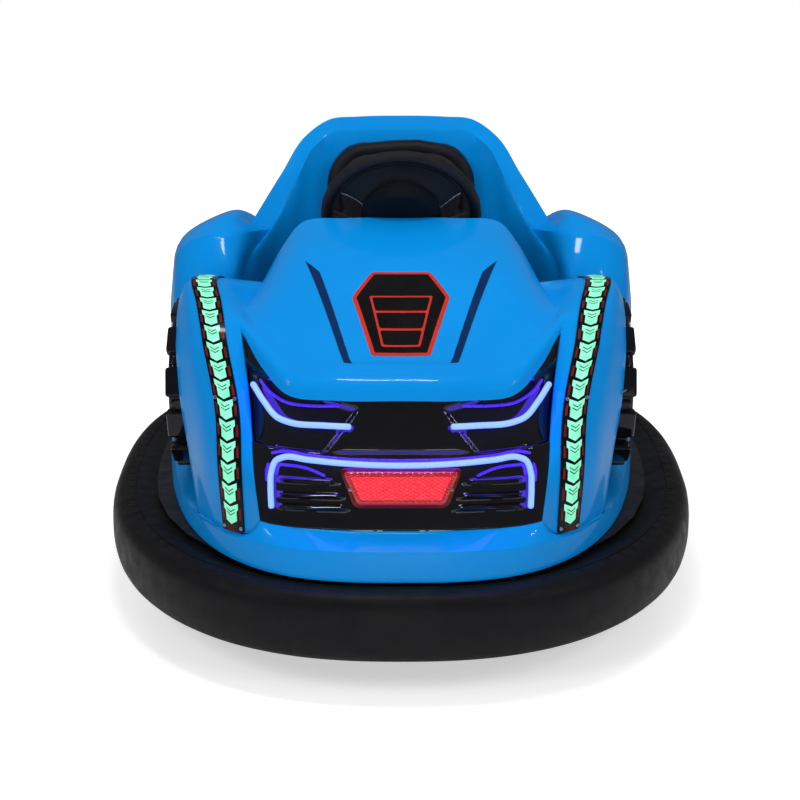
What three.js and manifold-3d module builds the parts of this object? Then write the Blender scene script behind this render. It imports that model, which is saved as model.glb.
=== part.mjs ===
// Battery bumper car for one rider: steel chassis on three wheels, inflatable bumper ring,
// moulded glass-fibre shell in panels, open cockpit, mock road wheels and light trims.
// Millimetres. The floor is z = 0, the nose points to -Y, and the car's left side is +X.
import * as THREE from 'three';
import { mergeVertices } from 'three/addons/utils/BufferGeometryUtils.js';
import Module from 'manifold-3d';

const wasm = await Module();
wasm.setup();

// ---------------------------------------------------------------- driving dimensions
const gap = 0.3;                                    // between pieces that touch
const plan = {
  halfWidth: 600, halfLength: 720, centreY: -50, frontPower: 2.4, rearPower: 2.6, taper: 0.12, stations: 36,
};
const ring = { bottom: 55, height: 140, depth: 150, power: 3.2, sides: 12 };
const shell = { wall: 5, hemZ: 200, hemInset: 55, hemX: 115.5, hemTaper: 0.35, hemPower: 3, band: 8 };
const frame = { z: 110, tube: 30, railX: 150, crossY: [-480, -190, 60, 225, 470] };
const rim = { thickness: 4, height: 60 };
const liftPad = { y: -60, length: 70, thickness: 6 };
const flange = { thickness: 2.5, outer: 92, inner: 215, lift: 0.6, post: 10, posts: 8 };
const tub = {
  halfWidth: 295, front: -240, toe: -200, rear: 428, wall: 4, top: 444, lowFrom: 285, lowTop: 431,
};
const entry = { thickness: 5, front: -12, x: 425, flare: 0.18, clearance: 12 };
const seat = { halfWidth: 200, front: 148, rear: 422, top: 350, wall: 4 };
const cushion = { halfWidth: 186, front: 152, rear: 345, thickness: 74, corner: 40 };
const back = { thickness: 45, halfWidth: 168, bottom: 436, top: 812, corner: 95, lean: 4.2, rear: 394.5 };
const battery = { halfWidth: 160, front: 190, length: 175, height: 185 };
const frontWheel = { radius: 110, width: 70, y: -330, hub: 62, axle: 8 };
const rearWheel = { radius: 80, width: 50, y: 345, x: 300, hub: 48, axle: 9, bore: 9.5, well: 15 };
const fork = { legX: 46, leg: 6, legWidth: 50, crownZ: 232, crown: 8, stem: 14, inGearbox: 20 };
const tower = { plate: 6, z: 250, halfLength: 40, collar: 29, bore: 14.5, foot: 30 };
const gearbox = { height: 70, halfWidth: 45, halfLength: 50 };
const steering = {
  y: 40, z: 703, dip: 34, rimRadius: 151, rimTube: 11.5, dish: 45, hub: 38, hubHalf: 12, spoke: 9,
  shaft: 10, bore: 10.5, jacket: 18, clearance: 5, inGearbox: 28,
};
const dash = { y: -35, thickness: 4, halfWidth: 185, bottom: 545, top: 688 };
const mock = {
  radius: 161, tread: 149, z: 414, frontY: -190, rearY: 326, frontX: 172, rearX: 102, width: 125,
  lugs: 12, lugLength: 56, lugRoot: 5, dish: 94, dishDepth: 15, boss: 20,
};
const strip = { thickness: 3 };
const neon = { radius: 6, clearance: 0.8, upperSteps: 12, lowerSteps: 28 };
const lamp = {
  row: 0.9, halfTop: 97, halfBottom: 73, height: 61, housing: 8, lens: 4, side: 4, above: 1, below: 10,
};
const pedal = { x: -95, y: -110, width: 70, length: 105, thickness: 6, tilt: 40 };

const nose = d => -plan.halfLength + d;             // y of a line that lies d behind the nose
const tail = d => plan.halfLength - d;              // y of a line that lies d ahead of the tail
const side = d => plan.halfWidth - d;               // x of a line that lies d inside the widest line
const rad = THREE.MathUtils.degToRad;

// ---------------------------------------------------------------- materials
const paint = (color, roughness, metalness = 0) => new THREE.MeshStandardMaterial({ color, roughness,
  metalness });
const blue = paint(0x128fe8, 0.15);
const glossBlack = paint(0x08080b, 0.12);
const rubber = paint(0x15151a, 0.55);
const vinyl = paint(0x17171b, 0.5);
const steel = paint(0x1c1d20, 0.5, 0.6);
const zinc = paint(0xa9adb3, 0.35, 1);
const satinBlack = paint(0x202125, 0.6);
const redLens = paint(0xe0141e, 0.15);
const neonTube = paint(0xb8c6ff, 0.3);
const mintStrip = paint(0x8ff0c0, 0.35);

// ---------------------------------------------------------------- helpers
const model = new THREE.Group();

function add(name, geometry, material) {
  const mesh = new THREE.Mesh(geometry, material);
  mesh.name = name;
  model.add(mesh);
  return mesh;
}

// A closed three.js geometry as a manifold, with its vertices merged by position.
function solid(geometry) {
  const bare = geometry.clone();
  bare.deleteAttribute('normal');
  bare.deleteAttribute('uv');
  const merged = mergeVertices(bare, 1e-3);
  return new wasm.Manifold(new wasm.Mesh({
    numProp: 3,
    vertProperties: new Float32Array(merged.attributes.position.array),
    triVerts: new Uint32Array(merged.index.array),
  }));
}

function geometryOf(manifold) {
  const mesh = manifold.getMesh();
  const geometry = new THREE.BufferGeometry();
  const xyz = new Float32Array(mesh.numVert * 3);
  for (let i = 0; i < mesh.numVert; i += 1) {
    for (let k = 0; k < 3; k += 1) xyz[3 * i + k] = mesh.vertProperties[mesh.numProp * i + k];
  }
  geometry.setAttribute('position', new THREE.BufferAttribute(xyz, 3));
  geometry.setIndex(Array.from(mesh.triVerts));
  return geometry;
}

const join = (...parts) => geometryOf(parts.map(solid).reduce((a, b) => a.add(b)));
const cut = (base, ...tools) => geometryOf(tools.map(solid).reduce((a, b) => a.subtract(b), solid(base)));

// What stands on a support, trimmed to stay clear of it.
const stand = (base, support) => cut(base, support, support.clone().translate(0, 0, gap));

const box = (x0, x1, y0, y1, z0, z1) => new THREE.BoxGeometry(x1 - x0, y1 - y0, z1 - z0)
  .translate((x0 + x1) / 2, (y0 + y1) / 2, (z0 + z1) / 2);

// A round bar of the given radius between two points.
function bar(from, to, radius, sides = 16) {
  const a = new THREE.Vector3(...from);
  const b = new THREE.Vector3(...to);
  const along = b.clone().sub(a);
  const turn = new THREE.Quaternion().setFromUnitVectors(new THREE.Vector3(0, 1, 0),
    along.clone().normalize());
  return new THREE.CylinderGeometry(radius, radius, along.length(), sides)
    .applyQuaternion(turn).translate(...a.add(b).multiplyScalar(0.5).toArray());
}

// A wheel-like body turned about an axis along X; the profile lists [radius, x].
function turnedX(profile, centre, sides) {
  const points = profile.map(([r, x]) => new THREE.Vector2(r, x));
  return new THREE.LatheGeometry(points, sides).rotateZ(-Math.PI / 2).translate(...centre);
}

// A flat outline extruded along one axis; the outline lists the two other coordinates in X, Y, Z order.
function prism(axis, outline, low, high, holes = []) {
  const shape = new THREE.Shape(outline.map(p => new THREE.Vector2(...p)));
  holes.forEach(h => shape.holes.push(new THREE.Path(h.map(p => new THREE.Vector2(...p)))));
  const body = new THREE.ExtrudeGeometry(shape, { depth: high - low, bevelEnabled: false,
    curveSegments: 8 });
  body.translate(0, 0, low);
  if (axis === 'x') body.applyMatrix4(new THREE.Matrix4().set(0, 0, 1, 0, 1, 0, 0, 0, 0, 1, 0, 0, 0, 0, 0,
    1));
  if (axis === 'y') {
    body.applyMatrix4(new THREE.Matrix4().set(1, 0, 0, 0, 0, 0, 1, 0, 0, 1, 0, 0, 0, 0, 0, 1));
    flip(body);
  }
  return body;
}

function flip(geometry) {
  const index = geometry.index ? Array.from(geometry.index.array)
    : Array.from({ length: geometry.attributes.position.count }, (_, i) => i);
  for (let i = 0; i < index.length; i += 3) [index[i + 1], index[i + 2]] = [index[i + 2], index[i + 1]];
  geometry.setIndex(index);
  return geometry;
}

const mirrored = geometry => flip(geometry.clone().scale(-1, 1, 1));

// A tube of round section along a smooth curve.
function tube(points, radius, steps) {
  const extrudePath = new THREE.CatmullRomCurve3(points.map(p => new THREE.Vector3(...p)), false,
    'centripetal');
  const section = new THREE.Shape();
  section.absarc(0, 0, radius, 0, 2 * Math.PI);
  return new THREE.ExtrudeGeometry(section, { steps, extrudePath, curveSegments: 4, bevelEnabled: false });
}

// ---------------------------------------------------------------- plan outline of the bumper
function planPoint(t) {
  const c = Math.cos(t);
  const s = Math.sin(t);
  const power = s < 0 ? plan.frontPower : plan.rearPower;
  const reach = s < 0 ? plan.halfLength + plan.centreY : plan.halfLength - plan.centreY;
  const y = plan.centreY + reach * Math.sign(s) * Math.abs(s) ** (2 / power);
  const x = Math.sign(c) * Math.abs(c) ** (2 / power) * (1 + plan.taper * y / 1000);
  return [x, y];
}

// The outline offset inwards by inset, as count points from t = 0 (+X) counter-clockwise.
function planLoop(inset, count) {
  const fine = 720;
  const raw = Array.from({ length: fine }, (_, i) => planPoint(2 * Math.PI * (i + 0.5) / fine));
  const widest = Math.max(...raw.map(p => p[0]));
  const curve = raw.map(([x, y]) => [x * plan.halfWidth / widest, y]);
  const lengths = [0];
  curve.forEach((p, i) => {
    const q = curve[(i + 1) % fine];
    lengths.push(lengths[i] + Math.hypot(q[0] - p[0], q[1] - p[1]));
  });
  const total = lengths[fine];
  return Array.from({ length: count }, (_, k) => {
    const at = total * k / count;
    const i = lengths.findIndex((l, j) => j < fine && lengths[j + 1] > at);
    const p = curve[i];
    const q = curve[(i + 1) % fine];
    const f = (at - lengths[i]) / (lengths[i + 1] - lengths[i]);
    const a = curve[(i + fine - 4) % fine];
    const b = curve[(i + 5) % fine];
    const t = Math.hypot(b[0] - a[0], b[1] - a[1]);
    const n = [(b[1] - a[1]) / t, -(b[0] - a[0]) / t];
    return [p[0] + f * (q[0] - p[0]) - inset * n[0], p[1] + f * (q[1] - p[1]) - inset * n[1]];
  });
}

// A closed band that follows the plan outline; its section lists [inset, z] round the tube.
function hoop(section, count) {
  const loops = section.map(([inset]) => planLoop(inset, count));
  const position = [];
  section.forEach(([, z], s) => loops[s].forEach(([x, y]) => position.push(x, y, z)));
  const index = [];
  for (let s = 0; s < section.length; s += 1) {
    for (let k = 0; k < count; k += 1) {
      const s1 = (s + 1) % section.length;
      const k1 = (k + 1) % count;
      const [a, b, c, d] = [s * count + k, s * count + k1, s1 * count + k1, s1 * count + k];
      index.push(a, b, c, a, c, d);
    }
  }
  const geometry = new THREE.BufferGeometry();
  geometry.setAttribute('position', new THREE.Float32BufferAttribute(position, 3));
  geometry.setIndex(index);
  return geometry;
}

const hoopBox = (outer, inner, z0, z1) =>
  hoop([[outer, z0], [outer, z1], [inner, z1], [inner, z0]], plan.stations);

// ---------------------------------------------------------------- moulded skins
// A skin is a grid of control points. It is drawn smoothly through them, with creases on the named rows
// and columns, thickened inwards along its own normals, and split into panels along control lines.
function smooth(points, steps, creases) {
  const dist = points.slice(1).map((p, i) => p.distanceTo(points[i]));
  const slope = i => points[i + 1].clone().sub(points[i]).divideScalar(dist[i]);
  const tangent = (i, into) => {
    if (i === 0) return slope(0);
    if (i === points.length - 1) return slope(i - 1);
    if (creases.includes(i)) return slope(into === 'next' ? i : i - 1);
    const w = dist[i - 1] / (dist[i - 1] + dist[i]);
    return slope(i - 1).multiplyScalar(1 - w).add(slope(i).multiplyScalar(w));
  };
  const out = [];
  for (let i = 0; i < points.length - 1; i += 1) {
    const m0 = tangent(i, 'next').multiplyScalar(dist[i]);
    const m1 = tangent(i + 1, 'last').multiplyScalar(dist[i]);
    for (let k = 0; k < steps; k += 1) {
      const t = k / steps;
      out.push(points[i].clone().multiplyScalar(2 * t ** 3 - 3 * t ** 2 + 1)
        .addScaledVector(m0, t ** 3 - 2 * t ** 2 + t)
        .addScaledVector(points[i + 1], -2 * t ** 3 + 3 * t ** 2)
        .addScaledVector(m1, t ** 3 - t ** 2));
    }
  }
  out.push(points[points.length - 1].clone());
  return out;
}

// Rows of points from the centre plane outwards, with their mirror image added on the other side.
const bothSides = rows => rows.map(row => [...row.slice(1).reverse().map(([x, y, z]) => [-x, y, z]),
  ...row]);

// The column that is column 0 for panel() is given by centre.
function skin(rows, centre, creaseRows, creaseColumns, steps = 2) {
  const across = rows.map(row => smooth(row.map(p => new THREE.Vector3(...p)), steps, creaseColumns));
  const columns = across[0].map((_, j) => smooth(across.map(row => row[j]), steps, creaseRows));
  const grid = columns[0].map((_, i) => columns.map(column => column[i]));
  const normals = grid.map(row => row.map(() => new THREE.Vector3()));
  for (let i = 0; i < grid.length - 1; i += 1) {
    for (let j = 0; j < grid[0].length - 1; j += 1) {
      const [a, b, c, d] = [grid[i][j], grid[i][j + 1], grid[i + 1][j + 1], grid[i + 1][j]];
      const n = c.clone().sub(a).cross(d.clone().sub(b)).normalize();
      [[i, j], [i, j + 1], [i + 1, j + 1], [i + 1, j]].forEach(([r, s]) => normals[r][s].add(n));
    }
  }
  normals.forEach((row, i) => row.forEach((n, j) => {
    if (Math.abs(grid[i][j].x) < 1e-6) n.setX(0);
    n.normalize();
  }));
  return { grid, normals, steps, centre };
}

// The panel between two control rows and two signed control columns (0 is the centre plane), from the
// bottom to the top level above the skin.
function panel(from, rowLow, rowHigh, columnLow, columnHigh, bottom = -shell.wall, top = 0) {
  const { grid, normals, steps, centre } = from;
  const rows = [];
  for (let i = rowLow * steps; i <= rowHigh * steps; i += 1) rows.push(i);
  const columns = [];
  for (let j = (centre + columnLow) * steps; j <= (centre + columnHigh) * steps; j += 1) columns.push(j);
  const position = [];
  const shrink = (i, j) => {
    const p = grid[rows[i]][columns[j]].clone();
    const pull = (ii, jj) => {
      const q = grid[rows[ii]][columns[jj]].clone().sub(grid[rows[i]][columns[j]]);
      p.addScaledVector(q, gap / 2 / q.length());
    };
    if (i === 0) pull(1, j);
    if (i === rows.length - 1) pull(i - 1, j);
    const centred = Math.abs(p.x) < 1e-6;
    if (j === 0 && !centred) pull(i, 1);
    if (j === columns.length - 1 && !centred) pull(i, j - 1);
    return p;
  };
  [top, bottom].forEach(level => rows.forEach((r, i) => columns.forEach((c, j) => position.push(
    ...shrink(i, j).addScaledVector(normals[r][c], level).toArray()))));
  const w = columns.length;
  const under = rows.length * w;
  const index = [];
  const quad = (a, b, c, d) => index.push(a, b, c, a, c, d);
  for (let i = 0; i < rows.length - 1; i += 1) {
    for (let j = 0; j < w - 1; j += 1) {
      const a = i * w + j;
      quad(a, a + 1, a + w + 1, a + w);
      quad(under + a, under + a + w, under + a + w + 1, under + a + 1);
    }
  }
  for (let j = 0; j < w - 1; j += 1) {
    quad(under + j, under + j + 1, j + 1, j);
    const e = (rows.length - 1) * w + j;
    quad(e + 1, under + e + 1, under + e, e);
  }
  for (let i = 0; i < rows.length - 1; i += 1) {
    const a = i * w;
    quad(a + w, under + a + w, under + a, a);
    const b = i * w + w - 1;
    quad(under + b, under + b + w, b + w, b);
  }
  const geometry = new THREE.BufferGeometry();
  geometry.setAttribute('position', new THREE.Float32BufferAttribute(position, 3));
  geometry.setIndex(index);
  return geometry;
}

// ---------------------------------------------------------------- shell: control lines
// A point of the hem, the shell's lowest line, at angle t: 90 is the nose, 0 the widest line, -90 the tail.
function hem(t, z, inset = 0) {
  const c = Math.cos(rad(t));
  const s = Math.sin(rad(t));
  const reach = plan.halfLength - shell.hemInset + (s > 0 ? plan.centreY : -plan.centreY);
  const y = plan.centreY - (reach - inset) * Math.sign(s) * Math.abs(s) ** (2 / shell.hemPower);
  const x = (plan.halfWidth - shell.hemX - inset) * (1 + shell.hemTaper * y / 1000)
    * Math.max(c, 0) ** (2 / shell.hemPower);
  return [x, y, z];
}

// Front clip. Each entry is [x, d, z]: x from the centre plane, or negative, measured in from the widest
// line; d behind the nose.
const frontPoint = ([x, d, z]) => [x < 0 ? side(-x) : x, nose(d), z];
const frontRows = [
  // foot of the mask, and the ledge's inner line
  [[0, 118, 268], [110, 120, 269], [188, 127, 272], [222, 133, 275], [-360, 140, 277],
    [-336, 166, 243], [-310, 180, 242], [-285, 202, 241], [-232, 285, 240]],
  // lower mask
  [[0, 140, 345], [110, 143, 345], [188, 152, 346], [225, 162, 347], [-349, 172, 348],
    [-329, 184, 345], [-304, 190, 345], [-280, 208, 345], [-212, 335, 345]],
  // upper mask
  [[0, 160, 430], [110, 162, 430], [188, 176, 432], [230, 200, 436], [-340, 232, 440],
    [-323, 222, 442], [-299, 224, 444], [-275, 240, 442], [-199, 350, 430]],
  // top of the mask, under the bonnet's lip
  [[0, 178, 480], [110, 180, 480], [186, 196, 482], [236, 250, 511], [-319, 318, 562],
    [-295, 300, 546], [-272, 300, 548], [-249, 312, 545], [-190, 385, 505]],
  // lower edge of the lip
  [[0, 164, 482], [110, 166, 482], [187, 184, 485], [238, 244, 517], [-317, 323, 573],
    [-291, 316, 562], [-268, 316, 564], [-245, 328, 560], [-188, 400, 522]],
  // top of the lip
  [[0, 168, 498], [110, 170, 498], [187, 190, 502], [238, 252, 536], [-315, 338, 583],
    [-286, 338, 580], [-263, 338, 582], [-239, 348, 577], [-187, 418, 538]],
  // bonnet, and the fenders rising to their crests
  [[0, 250, 546], [110, 250, 545], [187, 272, 546], [236, 318, 567], [-318, 390, 585],
    [-276, 384, 604], [-253, 384, 607], [-229, 390, 603], [-185, 442, 562]],
  [[0, 390, 620], [110, 392, 619], [188, 400, 614], [236, 418, 607], [-323, 455, 588],
    [-262, 445, 623], [-238, 445, 626], [-213, 448, 623], [-184, 482, 582]],
  [[0, 540, 674], [110, 540, 673], [190, 540, 667], [232, 532, 642], [-327, 538, 594],
    [-256, 525, 618], [-232, 525, 621], [-207, 527, 618], [-182, 542, 588]],
  // rear edge of the bonnet: the cowl and its sloping shoulders
  [[0, 690, 707], [110, 690, 706], [193, 686, 700], [229, 640, 664], [-330, 606, 594],
    [-257, 600, 603], [-233, 600, 605], [-209, 600, 601], [-181, 600, 579]],
  // rear return, down to the side entries
  [[0, 696, 684], [110, 696, 683], [192, 692, 674], [236, 654, 604], [-326, 668, 545],
    [-258, 665, 573], [-234, 665, 575], [-210, 665, 572], [-182, 662, 552]],
  [[0, 698, 660], [110, 698, 659], [193, 696, 646], [242, 690, 530], [-322, 712, 446.5],
    [-258, 712, 446.5], [-234, 712, 446.5], [-211, 712, 446.5], [-183, 712, 446.5]],
].map(row => row.map(frontPoint));
const front = { maskTop: 3, end: 11, maskSide: 4, out: 8 };

// Rear clip, from the front faces of seat and fenders over the top to the tail. Each entry is [x, d, z],
// with d ahead of the tail.
const rearPoint = ([x, d, z]) => [x < 0 ? side(-x) : x, tail(d), z];
const rearRows = [
  // foot of the seat recess and of the fenders' front faces
  [[0, 331, 351], [100, 331, 351], [165, 334, 351], [215, 346, 352], [-310, 400, 438],
    [-260, 570, 446.5], [-242, 640, 446.5], [-185, 652, 446.5], [-135, 630, 446.5], [-108, 562, 385]],
  [[0, 311, 620], [100, 311, 620], [168, 315, 620], [212, 328, 614], [-338, 382, 596],
    [-265, 530, 566], [-242, 612, 570], [-185, 620, 560], [-132, 600, 548], [-100, 554, 472]],
  // inner crease of the seat's chamfer
  [[0, 296, 832], [96, 296, 831], [156, 299, 828], [188, 312, 808], [-360, 350, 722],
    [-306, 410, 627], [-228, 562, 643], [-182, 568, 640], [-126, 552, 607], [-101, 514, 540]],
  // outline: seat top, shoulders, wing foot, fender peak
  [[0, 278, 866], [100, 280, 864], [160, 283, 859], [213, 292, 826], [-329, 345, 742],
    [-266, 412, 643], [-224, 505, 672], [-180, 505, 657], [-121, 500, 617], [-98, 458, 576]],
  [[0, 222, 858], [100, 224, 856], [163, 230, 848], [216, 246, 808], [-328, 292, 722],
    [-270, 325, 641], [-226, 390, 668], [-177, 392, 650], [-116, 392, 613], [-95, 385, 588]],
  // back slope
  [[0, 136, 650], [100, 137, 648], [165, 142, 636], [218, 152, 612], [-332, 166, 592],
    [-288, 182, 578], [-252, 222, 600], [-190, 242, 580], [-132, 256, 562], [-92, 270, 552]],
  // upper edge of the tail
  [[0, 76, 500], [100, 77, 498], [165, 81, 492], [218, 88, 484], [-338, 98, 476],
    [-300, 110, 468], [-258, 130, 462], [-204, 165, 450], [-152, 190, 446], [-104, 212, 438]],
  // foot of the tail
  [[0, 92, 250], [100, 94, 250], [165, 99, 250], [216, 108, 250], [-338, 122, 250],
    [-297, 142, 250], [-262, 168, 250], [-220, 200, 250], [-176, 235, 250], [-134, 262, 250]],
].map(row => row.map(rearPoint));
const rear = { deck: 6, foot: 7, valley: 5, out: 9 };

// Skirt, from the nose round one side to the tail: hem, band and ledge. The ledge's inner line is the foot
// of the clips, and between them it runs in under the mock wheels.
const skirtAngles = {
  front: [90, 80.8, 69, 62, 57, 49.4, 43.1, 36.8, 25.3],
  side: [17, 8, 0.4, -4, -10, -16],
  rear: [-23, -30.5, -38, -45, -51.5, -59, -66, -74, -81.5, -90],
};
const bandZ = {
  front: [252, 251, 248, 246, 243, 239, 236, 234, 232],
  side: [233, 235, 236, 238, 239, 241],
  rear: skirtAngles.rear.map(() => 242),
};
const ledge = { x: [326, 322, 322, 322, 322, 400], rise: 8 };
const allRound = lines => [...lines.front, ...lines.side, ...lines.rear];
const hemLine = allRound(skirtAngles).map(t => hem(t, shell.hemZ));
const bandLine = allRound(skirtAngles).map((t, i) => hem(t, allRound(bandZ)[i], shell.band));
const ledgeLine = allRound({
  front: frontRows[0],
  side: ledge.x.map((x, i) => [x, bandLine[skirtAngles.front.length + i][1], bandZ.side[i] + ledge.rise]),
  rear: [...rearRows[rear.foot]].reverse(),
});
const skirtSplit = { front: skirtAngles.front.length - 1,
  rear: skirtAngles.front.length + skirtAngles.side.length };

// ---------------------------------------------------------------- shell panels
// The steering column's line: it falls forwards from the steering wheel to the gearbox over the drive wheel.
const columnRun = (steering.y - frontWheel.y) / Math.cos(rad(steering.dip));
const onColumn = d => [0, steering.y + d * Math.cos(rad(steering.dip)),
  steering.z + d * Math.sin(rad(steering.dip))];
const gearboxBottom = onColumn(-columnRun)[2] - gearbox.height / 2;

function makeShell() {
  const ends = hemLine.length - 1;
  const creases = [front.maskSide, skirtSplit.front, skirtSplit.rear, ends - rear.valley];
  const skirt = skin(bothSides([hemLine, bandLine, ledgeLine]), ends, [1],
    creases.flatMap(k => [ends - k, ends + k]));
  const sideSkirt = panel(skirt, 0, 2, skirtSplit.front, skirtSplit.rear);
  const halfTail = panel(skirt, 0, 2, skirtSplit.rear, ends);
  const noseSkirt = panel(skirt, 0, 2, -skirtSplit.front, skirtSplit.front);
  const tailSkirt = join(halfTail, mirrored(halfTail));
  add('nose_skirt', noseSkirt, blue);
  add('side_skirt_left', sideSkirt, blue);
  add('side_skirt_right', mirrored(sideSkirt), blue);
  add('tail_skirt', tailSkirt, blue);

  const c = front.maskSide;
  const clip = skin(bothSides(frontRows), front.out, [3, 4, 9], [front.out - c, front.out + c]);
  const fender = panel(clip, 0, front.end, c, front.out);
  const mask = panel(clip, 0, front.maskTop, -c, c);
  const columnPath = bar(onColumn(-columnRun), onColumn(0), steering.jacket + gap);
  const bonnet = cut(panel(clip, front.maskTop, front.end, -c, c), columnPath);
  const fenderLeft = stand(fender, noseSkirt);
  const fenderRight = stand(mirrored(fender), noseSkirt);
  add('nose_mask', mask, glossBlack);
  add('bonnet', bonnet, blue);
  add('front_fender_left', fenderLeft, blue);
  add('front_fender_right', fenderRight, blue);

  const v = rear.valley;
  const aft = skin(bothSides(rearRows), rear.out, [2, 3], [rear.out - v, rear.out + v]);
  const rearFender = panel(aft, 0, rear.deck, v, rear.out);
  const rearFenderRight = mirrored(rearFender);
  const seatShell = panel(aft, 0, rear.deck, -v, v);
  add('seat_shell', seatShell, blue);
  add('rear_fender_left', rearFender, blue);
  add('rear_fender_right', rearFenderRight, blue);
  add('tail_panel', stand(panel(aft, rear.deck, rear.foot, -rear.out, rear.out), tailSkirt), glossBlack);
  makeTrims(clip, mask, noseSkirt);
  return { bonnet, seatShell, left: [fenderLeft, rearFender], right: [fenderRight, rearFenderRight] };
}

// ---------------------------------------------------------------- places on a skin
// The point of a skin at fractional control row and signed column, lifted along the normal.
function onSkin(from, row, column, lift) {
  const r = row * from.steps;
  const c = (from.centre + column) * from.steps;
  const i = Math.min(Math.floor(r), from.grid.length - 2);
  const j = Math.min(Math.floor(c), from.grid[0].length - 2);
  const mix = field => field[i][j].clone().multiplyScalar((1 - r + i) * (1 - c + j))
    .addScaledVector(field[i + 1][j], (r - i) * (1 - c + j))
    .addScaledVector(field[i][j + 1], (1 - r + i) * (c - j))
    .addScaledVector(field[i + 1][j + 1], (r - i) * (c - j));
  const normal = mix(from.normals).normalize();
  return { point: mix(from.grid).addScaledVector(normal, lift), normal };
}

// A geometry drawn in X, Y with its back at z = 0, set on a skin with its own Z along the normal.
function setOn(geometry, { point, normal }) {
  const right = new THREE.Vector3(0, 0, 1).cross(normal).normalize();
  const up = normal.clone().cross(right);
  return geometry.clone().applyMatrix4(new THREE.Matrix4().makeBasis(right, up, normal).setPosition(point));
}

// ---------------------------------------------------------------- lights and trims
const neonLines = {
  upper: [[2.48, 3.5], [2.38, 3], [2.14, 2.33], [2.1, 1.95], [2.14, 1.25], [2.15, 0.8]],
  lower: [[0.4, 2.85], [0.8, 2.86], [1.1, 2.8], [1.34, 2.55], [1.43, 2.2], [1.43, 1.6], [1.39, 0.9],
    [1.35, 0]],
};

function makeTrims(clip, mask, noseSkirt) {
  const upTo = 9;
  const lightStrip = panel(clip, 0, upTo, front.maskSide + 1, front.out - 1, gap, gap + strip.thickness);
  add('light_strip_left', stand(lightStrip, noseSkirt), mintStrip);
  add('light_strip_right', stand(mirrored(lightStrip), noseSkirt), mintStrip);

  const lift = neon.radius + neon.clearance;
  const upper = neonLines.upper.map(([r, c]) => onSkin(clip, r, c, lift).point.toArray());
  const half = neonLines.lower.map(([r, c]) => onSkin(clip, r, c, lift).point.toArray());
  const lower = [...half, ...half.slice(0, -1).reverse().map(([x, y, z]) => [-x, y, z])];
  const upperTube = tube(upper, neon.radius, neon.upperSteps);
  add('neon_tube_upper_left', upperTube, neonTube);
  add('neon_tube_upper_right', mirrored(upperTube), neonTube);
  add('neon_tube_lower', tube(lower, neon.radius, neon.lowerSteps), neonTube);

  const lampSeat = onSkin(clip, lamp.row, 0, 0);
  const { halfTop, halfBottom, height } = lamp;
  const bezel = [[-halfBottom - lamp.side, -height / 2 - lamp.below],
    [halfBottom + lamp.side, -height / 2 - lamp.below],
    [halfTop + lamp.side, height / 2 + lamp.above], [-halfTop - lamp.side, height / 2 + lamp.above]];
  const housing = setOn(prism('z', bezel, -shell.wall / 2, lamp.housing), lampSeat);
  add('lamp_housing', cut(housing, mask, mask.clone().translate(0, -gap, 0)), glossBlack);
  const face = [[-halfBottom, -height / 2], [halfBottom, -height / 2], [halfTop, height / 2],
    [-halfTop, height / 2]];
  const lens = prism('z', face, lamp.housing + gap, lamp.housing + gap + lamp.lens);
  add('lamp_lens', setOn(lens, lampSeat), redLens);
}

// ---------------------------------------------------------------- bumper, chassis and floor
function makeBumper() {
  const mid = ring.bottom + ring.height / 2;
  const around = Array.from({ length: ring.sides }, (_, i) => 2 * Math.PI * i / ring.sides);
  const round = v => Math.sign(v) * Math.abs(v) ** (2 / ring.power);
  const section = around.map(a => [
    ring.depth / 2 * (1 + round(Math.cos(a))),
    mid + ring.height / 2 * round(Math.sin(a)),
  ]);
  add('bumper_tyre', hoop(section.reverse(), plan.stations), rubber);
}

const frameOuter = ring.depth + gap + rim.thickness;
const frameTop = frame.z + frame.tube;

// Half the chassis' width at y, taken from the plan outline.
function frameHalfWidth(y) {
  const line = planLoop(frameOuter + frame.tube / 2, 240);
  return Math.min(...line.filter(([x, at]) => x > 0 && Math.abs(at - y) < frame.tube / 2 + 3).map(([x]) => x));
}

function makeChassis() {
  const t = frame.tube / 2;
  const z = [frame.z, frameTop];
  const ends = [nose(frameOuter + frame.tube) - 1, tail(frameOuter + frame.tube) + 1];
  const rails = [-1, 1].map(k => box(k * frame.railX - t, k * frame.railX + t, ...ends, ...z));
  const pads = [-1, 1].map(k => box(k * frame.railX - t, k * frame.railX + t, liftPad.y - liftPad.length / 2,
    liftPad.y + liftPad.length / 2, frame.z - liftPad.thickness, frame.z + 1));
  const crossings = frame.crossY.map(y => box(-frameHalfWidth(y), frameHalfWidth(y), y - t, y + t, ...z));
  const mid = ring.bottom + ring.height / 2;
  const band = hoopBox(frameOuter - rim.thickness, frameOuter + 1, mid - rim.height / 2,
    mid + rim.height / 2);
  const perimeter = hoopBox(frameOuter, frameOuter + frame.tube, ...z);
  add('chassis_frame', join(band, perimeter, ...rails, ...pads, ...crossings), steel);

  const low = ring.bottom + ring.height + flange.lift;
  const plate = hoopBox(flange.outer, flange.inner, low, low + flange.thickness);
  const posts = planLoop(frameOuter + t, flange.posts)
    .map(([x, y]) => bar([x, y, frameTop + gap], [x, y, low + 1], flange.post, 8));
  add('body_flange', join(plate, ...posts), satinBlack);
}

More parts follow.
